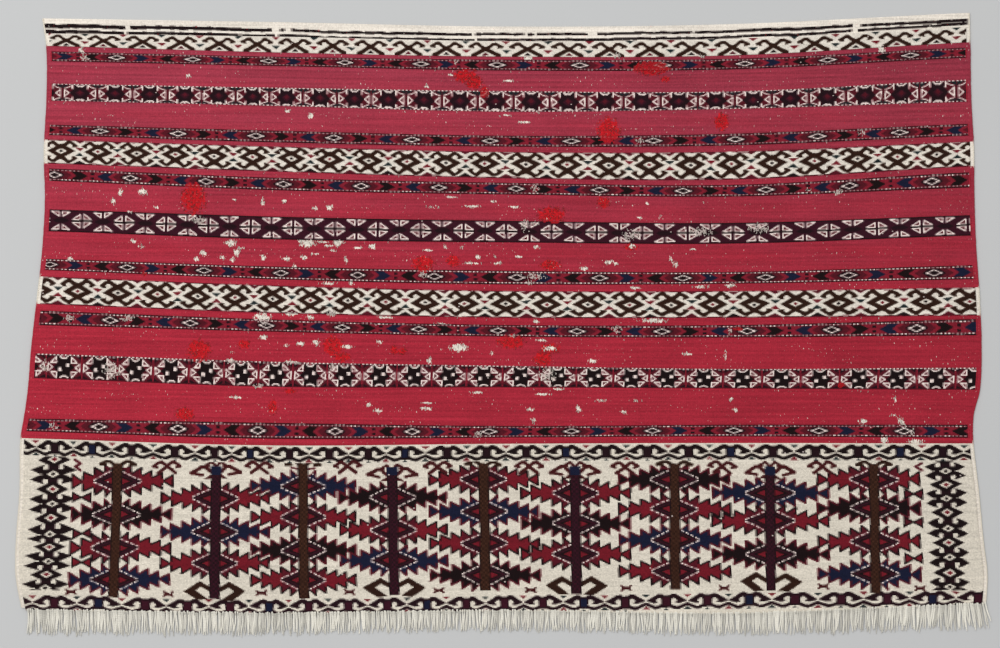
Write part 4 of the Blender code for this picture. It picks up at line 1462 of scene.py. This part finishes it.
def yarn_ends_tree():
    """Tree: short bent yarn ends strewn over patches."""
    if "yarn ends" in bpy.data.node_groups:
        tree = bpy.data.node_groups["yarn ends"]
        items = tree.interface.items_tree
        return tree, {item.name: item.identifier for item in items if item.in_out == "INPUT"}
    tree, enter, leave, identifiers = node_tree("yarn ends", (
        ("Density", "NodeSocketFloat"), ("Length", "NodeSocketFloat"), ("Radius", "NodeSocketFloat"),
        ("Turn", "NodeSocketFloat"), ("Seed", "NodeSocketInt"), ("Material", "NodeSocketMaterial")))
    given = enter.outputs
    strewn = add(tree, "GeometryNodeDistributePointsOnFaces",
                 {"Mesh": given["Geometry"], "Density": given["Density"], "Seed": given["Seed"]})
    points = keep_field(tree, strewn.outputs["Points"], "wander", chance_value(tree, 0.0, 1.0, given["Seed"]))
    bow = add(tree, "GeometryNodeCurveQuadraticBezier",
              {"Resolution": 3, "Start": (0.0, -0.5, 0.0), "Middle": (0.15, 0.0, 0.45),
               "End": (0.0, 0.5, 0.0)})
    size = maths(tree, "DIVIDE", given["Radius"], given["Length"])
    tick = yarn_tube(tree, bow.outputs[0], 4, size)
    turn = maths(tree, "MULTIPLY", chance_value(tree, -1.0, 1.0, 5), given["Turn"])
    turned = combine(tree, z=turn)
    scale = maths(tree, "MULTIPLY", chance_value(tree, 0.55, 1.35, 6), given["Length"])
    ends = add(tree, "GeometryNodeInstanceOnPoints",
               {"Points": points, "Instance": tick, "Rotation": turned, "Scale": scale}).outputs[0]
    close_tree(tree, ends, given["Material"], leave)
    return tree, identifiers


def edge_cord_tree():
    """Tree: an overcast selvedge along a line."""
    tree, enter, leave, identifiers = node_tree("edge cord", (
        ("Radius", "NodeSocketFloat"), ("Step", "NodeSocketFloat"), ("Material", "NodeSocketMaterial")))
    given = enter.outputs
    line = add(tree, "GeometryNodeMeshToCurve", {"Mesh": given["Geometry"]}).outputs[0]
    even = add(tree, "GeometryNodeResampleCurve", {"Curve": line, "Length": given["Step"]}, mode="LENGTH")
    rough = add(tree, "ShaderNodeTexNoise", {"Scale": 160.0, "Detail": 1.0}).outputs[0]
    radius = maths(tree, "MULTIPLY", maths(tree, "MULTIPLY_ADD", rough, 0.9, 0.55), given["Radius"])
    close_tree(tree, yarn_tube(tree, even.outputs[0], 6, radius), given["Material"], leave)
    return tree, identifiers


def grow(name, mesh, tree, identifiers, values):
    """Plain mesh object from a source mesh and a tree, with the tree's inputs set by identifier."""
    source = bpy.data.objects.new(name + " source", mesh)
    bpy.context.scene.collection.objects.link(source)
    modifier = source.modifiers.new(name, "NODES")
    modifier.node_group = tree
    for title, value in values.items():
        modifier[identifiers[title]] = value
    graph = bpy.context.evaluated_depsgraph_get()
    grown = bpy.data.meshes.new_from_object(source.evaluated_get(graph), depsgraph=graph)
    grown.name = name
    source.modifiers.remove(modifier)
    bpy.data.objects.remove(source, do_unlink=True)
    obj = bpy.data.objects.new(name, grown)
    bpy.context.scene.collection.objects.link(obj)
    return obj


def line_mesh(name, points, fields):
    """Mesh of edges through points, with float fields on them."""
    mesh = bpy.data.meshes.new(name)
    edges = [(i, i + 1) for i in range(len(points) - 1)]
    mesh.from_pydata([tuple(p) for p in points], edges, [])
    for title, values in fields.items():
        mesh.attributes.new(title, "FLOAT", "POINT").data.foreach_set("value", np.asarray(values, np.float32))
    return mesh


# Corners of a round patch, and stretches of a strip
PATCH_CORNERS = 8
STRIP_STRETCHES = 59
# How far below a line its strip starts and ends, and the height where it lies, in mm
STRIP_START = 1.0
STRIP_END = 3.5
STRIP_HEIGHT = 1.9


def patch_mesh(name, table, lines=()):
    """Mesh of flat patches on the cloth: spots of a table, and narrow strips below lines of the cloth."""
    points, faces = [], []
    turn = np.linspace(0, math.tau, PATCH_CORNERS + 1)[:-1]
    for middle, drop, width, height in table:
        rim = plan_points(middle + width / 2 * np.cos(turn), drop - height / 2 * np.sin(turn),
                          np.full(PATCH_CORNERS, surface_height(middle, drop)))
        faces.append([len(points) + i for i in range(PATCH_CORNERS)])
        points += rim.tolist()
    for line in lines:
        x, drop = row_place(CROSS_LINES[line], np.linspace(0.01, 0.99, STRIP_STRETCHES + 1))
        level = np.full(len(x), STRIP_HEIGHT)
        upper = plan_points(x, drop + STRIP_START, level).tolist()
        lower = plan_points(x, drop + STRIP_END, level).tolist()
        for k in range(STRIP_STRETCHES):
            faces.append([len(points) + i for i in range(4)])
            points += [lower[k], lower[k + 1], upper[k + 1], upper[k]]
    mesh = bpy.data.meshes.new(name)
    mesh.from_pydata(points, [], faces)
    return mesh


def surface_height(x, drop):
    """Height in mm of the cloth's upper face at a place."""
    sizes = bpy.context.scene.bag_cloth
    across = (x - side_x(drop, 1)) / (side_x(drop, 2) - side_x(drop, 1))
    here = "hem top"
    for name, drops in CROSS_LINES.items():
        if smooth_read(STATIONS, drops, across) <= drop:
            here = name
    if here in BANDS:
        return sizes.band_pile / MM
    return (sizes.panel_pile if here == "tree panel" else sizes.flatweave) / MM


# Operators

class BAG_OT_flat_weave(bpy.types.Operator):
    """Build the flat woven cloth with its hem, which carries every raised band"""
    bl_idname = "bag.flat_weave"
    bl_label = "Flat weave"

    def execute(self, context):
        sizes = context.scene.bag_cloth
        rows, stretches = ground_rows()
        columns = round(CLOTH_WIDTH * MM / sizes.ground_cell)
        x, drop = lay_out(rows, np.linspace(0, 1, columns + 1))
        shades = ground_cells(cell_middles(x), cell_middles(drop), stretches, columns)
        thick = np.full(x.shape, sizes.flatweave / MM)
        thick[:stretches[0][1]] = sizes.hem / MM
        obj = woven_mesh("flat_weave", x, drop, thick + swell(x, drop), 0.0, shades, 4)
        wear = 0.86 * spots(x, drop, WORN_SPOTS, 21) + 0.03 + 0.06 * cloud(x, drop * 4.0, 90.0, 27)
        for name, values in (("wear", wear), ("mend", spots(x, drop, MENDS, 21))):
            field = np.zeros(len(obj.data.vertices), np.float32)
            field[:x.size] = values.ravel()
            obj.data.attributes.new(name, "FLOAT", "POINT").data.foreach_set("value", field)
        obj.data.materials.append(flat_wool())
        obj.data.materials.append(cloth_back())
        obj.data.polygons[len(obj.data.polygons) - 1].material_index = 1
        return {"FINISHED"}


class BAG_OT_knotted_bands(bpy.types.Operator):
    """Build the twelve raised knotted bands, one piece each"""
    bl_idname = "bag.knotted_bands"
    bl_label = "Knotted bands"

    def execute(self, context):
        sizes = context.scene.bag_cloth
        names = list(CROSS_LINES)
        for number, name in enumerate(BANDS):
            first, last = CROSS_LINES[name], CROSS_LINES[names[names.index(name) + 1]]
            obj = pile_piece(name.replace(" ", "_"), first, last, sizes.band_pile, sizes.band_knot_width,
                             sizes.band_knot_height, lambda *size, band=name: band_shades(band, *size), 8,
                             31 + number)
            obj.data.materials.append(knotted_wool())
        return {"FINISHED"}


class BAG_OT_tree_panel(bpy.types.Operator):
    """Build the deep knotted panel with its nine trees"""
    bl_idname = "bag.tree_panel"
    bl_label = "Tree panel"

    def execute(self, context):
        sizes = context.scene.bag_cloth
        obj = pile_piece("tree_panel", CROSS_LINES["tree panel"], panel_edge(), sizes.panel_pile,
                         sizes.panel_knot_width, sizes.panel_knot_height, panel_shades, 3, 61)
        obj.data.materials.append(knotted_wool())
        return {"FINISHED"}


# Part of the cloth's width that the fringe covers, and how many points its line of roots has
FRINGE_SPAN = (0.006, 0.9985)
FRINGE_POINTS = 240
# How far the strands fan out at the right corner in mm, and the part of the width where the fan starts
FAN_REACH = 9.0
FAN_START = 0.955
# How far the roots lie behind the panel's edge in mm, and how high they stand above the floor in metres
ROOT_OVERLAP = 1.2
ROOT_RISE = 0.0031


class BAG_OT_warp_fringe(bpy.types.Operator):
    """Build the fringe of cut warp ends along the bottom edge"""
    bl_idname = "bag.warp_fringe"
    bl_label = "Warp fringe"

    def execute(self, context):
        sizes = context.scene.bag_fringe
        across = np.linspace(*FRINGE_SPAN, FRINGE_POINTS)
        x, drop = row_place(panel_edge(), across)
        reach = smooth_read(STATIONS, FRINGE_LENGTH, across) * (1 + 0.05 * cloud(x, x * 0, 50.0, 3))
        fan = FAN_REACH * np.clip((across - FAN_START) / (1 - FAN_START), 0, 1) ** 1.5
        mesh = line_mesh("fringe roots", plan_points(x, drop - ROOT_OVERLAP, np.zeros(len(x))),
                         {"reach": reach * MM, "fan": fan * MM})
        tree, identifiers = fringe_tree()
        material = spun_yarn("warp yarn", None, tuple(sizes.yarn), (0.0, 0.10, 0.12))
        grow("fringe_strands", mesh, tree, identifiers,
             {"Strands": sizes.strands, "Radius": sizes.radius, "Lean": sizes.lean, "Rise": ROOT_RISE,
              "Seed": 4, "Material": material})
        return {"FINISHED"}


# Radius of a selvedge cord and its step in metres, its height and its clearance at both ends in mm, and
# the number of points on its line
CORD_RADIUS = 0.0011
CORD_STEP = 0.004
CORD_HEIGHT = 1.25
CORD_CLEARANCE = 0.6
CORD_POINTS = 300
# Stretches of the selvedges that are cream, by the lines of the cloth where they start and end
CREAM_STRETCHES = (("hem top", "red below scroll"), ("cream band 1", "red 4"), ("cream band 2", "red 8"),
                   ("tree panel", "fringe root"))


class BAG_OT_selvedges(bpy.types.Operator):
    """Build the overcast cords along both sides"""
    bl_idname = "bag.selvedges"
    bl_label = "Selvedges"

    def execute(self, context):
        yarns = yarn_table()
        tree, identifiers = edge_cord_tree()
        for side, end, name in ((1, 0.0, "left_selvedge"), (2, 1.0, "right_selvedge")):
            at_end = {line: smooth_read(STATIONS, drops, end) for line, drops in CROSS_LINES.items()}
            drop = np.linspace(at_end["hem top"] + CORD_CLEARANCE, at_end["fringe root"] - CORD_CLEARANCE,
                               CORD_POINTS)
            x = side_x(drop, side)
            mesh = line_mesh(name, plan_points(x, drop, np.full(len(x), CORD_HEIGHT)), {})
            cream = np.zeros(len(x), bool)
            for upper, lower in CREAM_STRETCHES:
                cream |= (drop > at_end[upper]) & (drop < at_end[lower])
            shades = np.where(cream[:, None], yarns[IVORY], ground_shades(x, drop))
            field = mesh.attributes.new("shade", "FLOAT_COLOR", "POINT")
            field.data.foreach_set("color", np.c_[shades, np.ones(len(x))].ravel())
            material = spun_yarn("selvedge yarn", "shade", None, (0.0, 0.12, 0.14))
            grow(name, mesh, tree, identifiers,
                 {"Radius": CORD_RADIUS, "Step": CORD_STEP, "Material": material})
        return {"FINISHED"}


class BAG_OT_loose_yarn(bpy.types.Operator):
    """Strew bare warp ends over the worn spots and tufts over the mends"""
    bl_idname = "bag.loose_yarn"
    bl_label = "Bare warps and tufts"

    def execute(self, context):
        sizes, yarns = context.scene.bag_wear, context.scene.bag_yarns
        tree, identifiers = yarn_ends_tree()
        bare = spun_yarn("bare warp", None, tuple(yarns.cream), (0.0, 0.1, 0.1))
        mend = spun_yarn("mending wool", None, tuple(yarns.mend_red), (0.0, 0.2, 0.2))
        for name, mesh, each_cm, length_of_one, radius, turn, seed, material in (
                ("bare_warps", patch_mesh("worn patches", WORN_SPOTS),
                 sizes.ends_each_cm, sizes.end_length, 0.35, 0.45, 2, bare),
                ("ragged_warps", patch_mesh("ragged strips", (), RAGGED_LINES),
                 0.5, sizes.end_length * 0.8, 0.3, 0.5, 5, bare),
                ("mend_tufts", patch_mesh("mended patches", MENDS),
                 sizes.tufts_each_cm, sizes.tuft_length, 0.5, 1.6, 3, mend)):
            grow(name, mesh, tree, identifiers,
                 {"Density": each_cm * 1e4, "Length": length_of_one, "Radius": radius * MM, "Turn": turn,
                  "Seed": seed, "Material": material})
        return {"FINISHED"}


# Size of the floor and its clearance below the cloth, in metres
FLOOR_SIZE = 8.0
FLOOR_GAP = 0.0002


def lay_floor(scene):
    """Plain pale floor just below the cloth."""
    half = FLOOR_SIZE / 2
    mesh = bpy.data.meshes.new("floor")
    mesh.from_pydata([(-half, -half, 0), (half, -half, 0), (half, half, 0), (-half, half, 0)], [],
                     [(0, 1, 2, 3)])
    mesh.materials.append(pale_floor())
    floor = bpy.data.objects.new("floor", mesh)
    floor.location.z = -FLOOR_GAP
    scene.collection.objects.link(floor)
    return floor


def light_softly(scene):
    """Even light from all around, and one wide lamp above the upper left corner."""
    world = bpy.data.worlds.new("soft light")
    world.use_nodes = True
    background = world.node_tree.nodes["Background"]
    background.inputs["Color"].default_value = (1.0, 1.0, 1.0, 1.0)
    background.inputs["Strength"].default_value = 0.55
    scene.world = world
    lamp = bpy.data.lights.new("wide lamp", "AREA")
    lamp.energy = 95.0
    lamp.size = 3.0
    lamp_object = bpy.data.objects.new("wide lamp", lamp)
    lamp_object.location = (-1.2, 1.4, 3.6)
    lamp_object.rotation_euler = (-Vector(lamp_object.location)).to_track_quat("-Z", "Y").to_euler()
    scene.collection.objects.link(lamp_object)


def hang_camera(scene):
    """Camera straight above, as high as the photograph's width asks for."""
    camera = bpy.data.cameras.new("camera")
    camera.lens = 85.0
    camera.sensor_width = 36.0
    camera_object = bpy.data.objects.new("camera", camera)
    height = VIEW_WIDTH * MM * camera.lens / camera.sensor_width
    camera_object.location = (VIEW_X * MM + SHIFT.x, SHIFT.y - VIEW_DROP * MM, height + 0.002)
    scene.collection.objects.link(camera_object)
    scene.camera = camera_object


class BAG_OT_stage(bpy.types.Operator):
    """Lay the pale floor, and set up the soft light and the camera straight above"""
    bl_idname = "bag.stage"
    bl_label = "Stage"

    def execute(self, context):
        floor = lay_floor(context.scene)
        light_softly(context.scene)
        hang_camera(context.scene)
        context.scene.view_settings.view_transform = "Standard"
        return {"FINISHED"}


class BAG_PT_panel(bpy.types.Panel):
    """Sizes, colours and steps of the bag face"""
    bl_idname = "BAG_PT_panel"
    bl_label = "Storage bag face"
    bl_space_type = "VIEW_3D"
    bl_region_type = "UI"
    bl_category = "Bag face"

    def draw(self, context):
        for title, group in (("Cloth", context.scene.bag_cloth), ("Yarns", context.scene.bag_yarns),
                             ("Fringe", context.scene.bag_fringe), ("Wear", context.scene.bag_wear)):
            box = self.layout.box()
            box.label(text=title)
            for name in group.bl_rna.properties.keys():
                if name not in ("name", "rna_type"):
                    box.prop(group, name)
        for step in STEPS:
            self.layout.operator(step.bl_idname)


STEPS = (BAG_OT_flat_weave, BAG_OT_knotted_bands, BAG_OT_tree_panel, BAG_OT_warp_fringe, BAG_OT_selvedges,
         BAG_OT_loose_yarn, BAG_OT_stage)
CLASSES = (ClothSizes, YarnColours, FringeSizes, WearSizes) + STEPS + (BAG_PT_panel,)


def register():
    """Register the classes and hang the settings on the scene."""
    for item in CLASSES:
        bpy.utils.register_class(item)
    bpy.types.Scene.bag_cloth = PointerProperty(type=ClothSizes)
    bpy.types.Scene.bag_yarns = PointerProperty(type=YarnColours)
    bpy.types.Scene.bag_fringe = PointerProperty(type=FringeSizes)
    bpy.types.Scene.bag_wear = PointerProperty(type=WearSizes)


def unregister():
    """Take the settings off the scene and unregister the classes."""
    del bpy.types.Scene.bag_wear
    del bpy.types.Scene.bag_fringe
    del bpy.types.Scene.bag_yarns
    del bpy.types.Scene.bag_cloth
    for item in reversed(CLASSES):
        bpy.utils.unregister_class(item)


def hand_over():
    """Tell the frame which body each piece rides on, and hide the solids of the cloth and the fringe."""
    objects = bpy.data.objects
    raised = [objects[name.replace(" ", "_")] for name in BANDS] + [objects["tree_panel"]]
    trim = [objects["left_selvedge"], objects["right_selvedge"]]
    loose = [objects[name] for name in ("bare_warps", "ragged_warps", "mend_tufts")]
    cloth, fringe = objects["flat_weave"], objects["fringe_strands"]
    for obj in [cloth, fringe] + raised + trim + loose:
        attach(obj, "root")
    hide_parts("face_cloth")
    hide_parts("warp_fringe")


def main():
    """Build every piece and the stage, and hand the pieces over to the frame."""
    register()
    bpy.ops.bag.flat_weave()
    bpy.ops.bag.knotted_bands()
    bpy.ops.bag.tree_panel()
    bpy.ops.bag.warp_fringe()
    bpy.ops.bag.selvedges()
    bpy.ops.bag.loose_yarn()
    bpy.ops.bag.stage()
    hand_over()


if __name__ == "__main__":
    main()
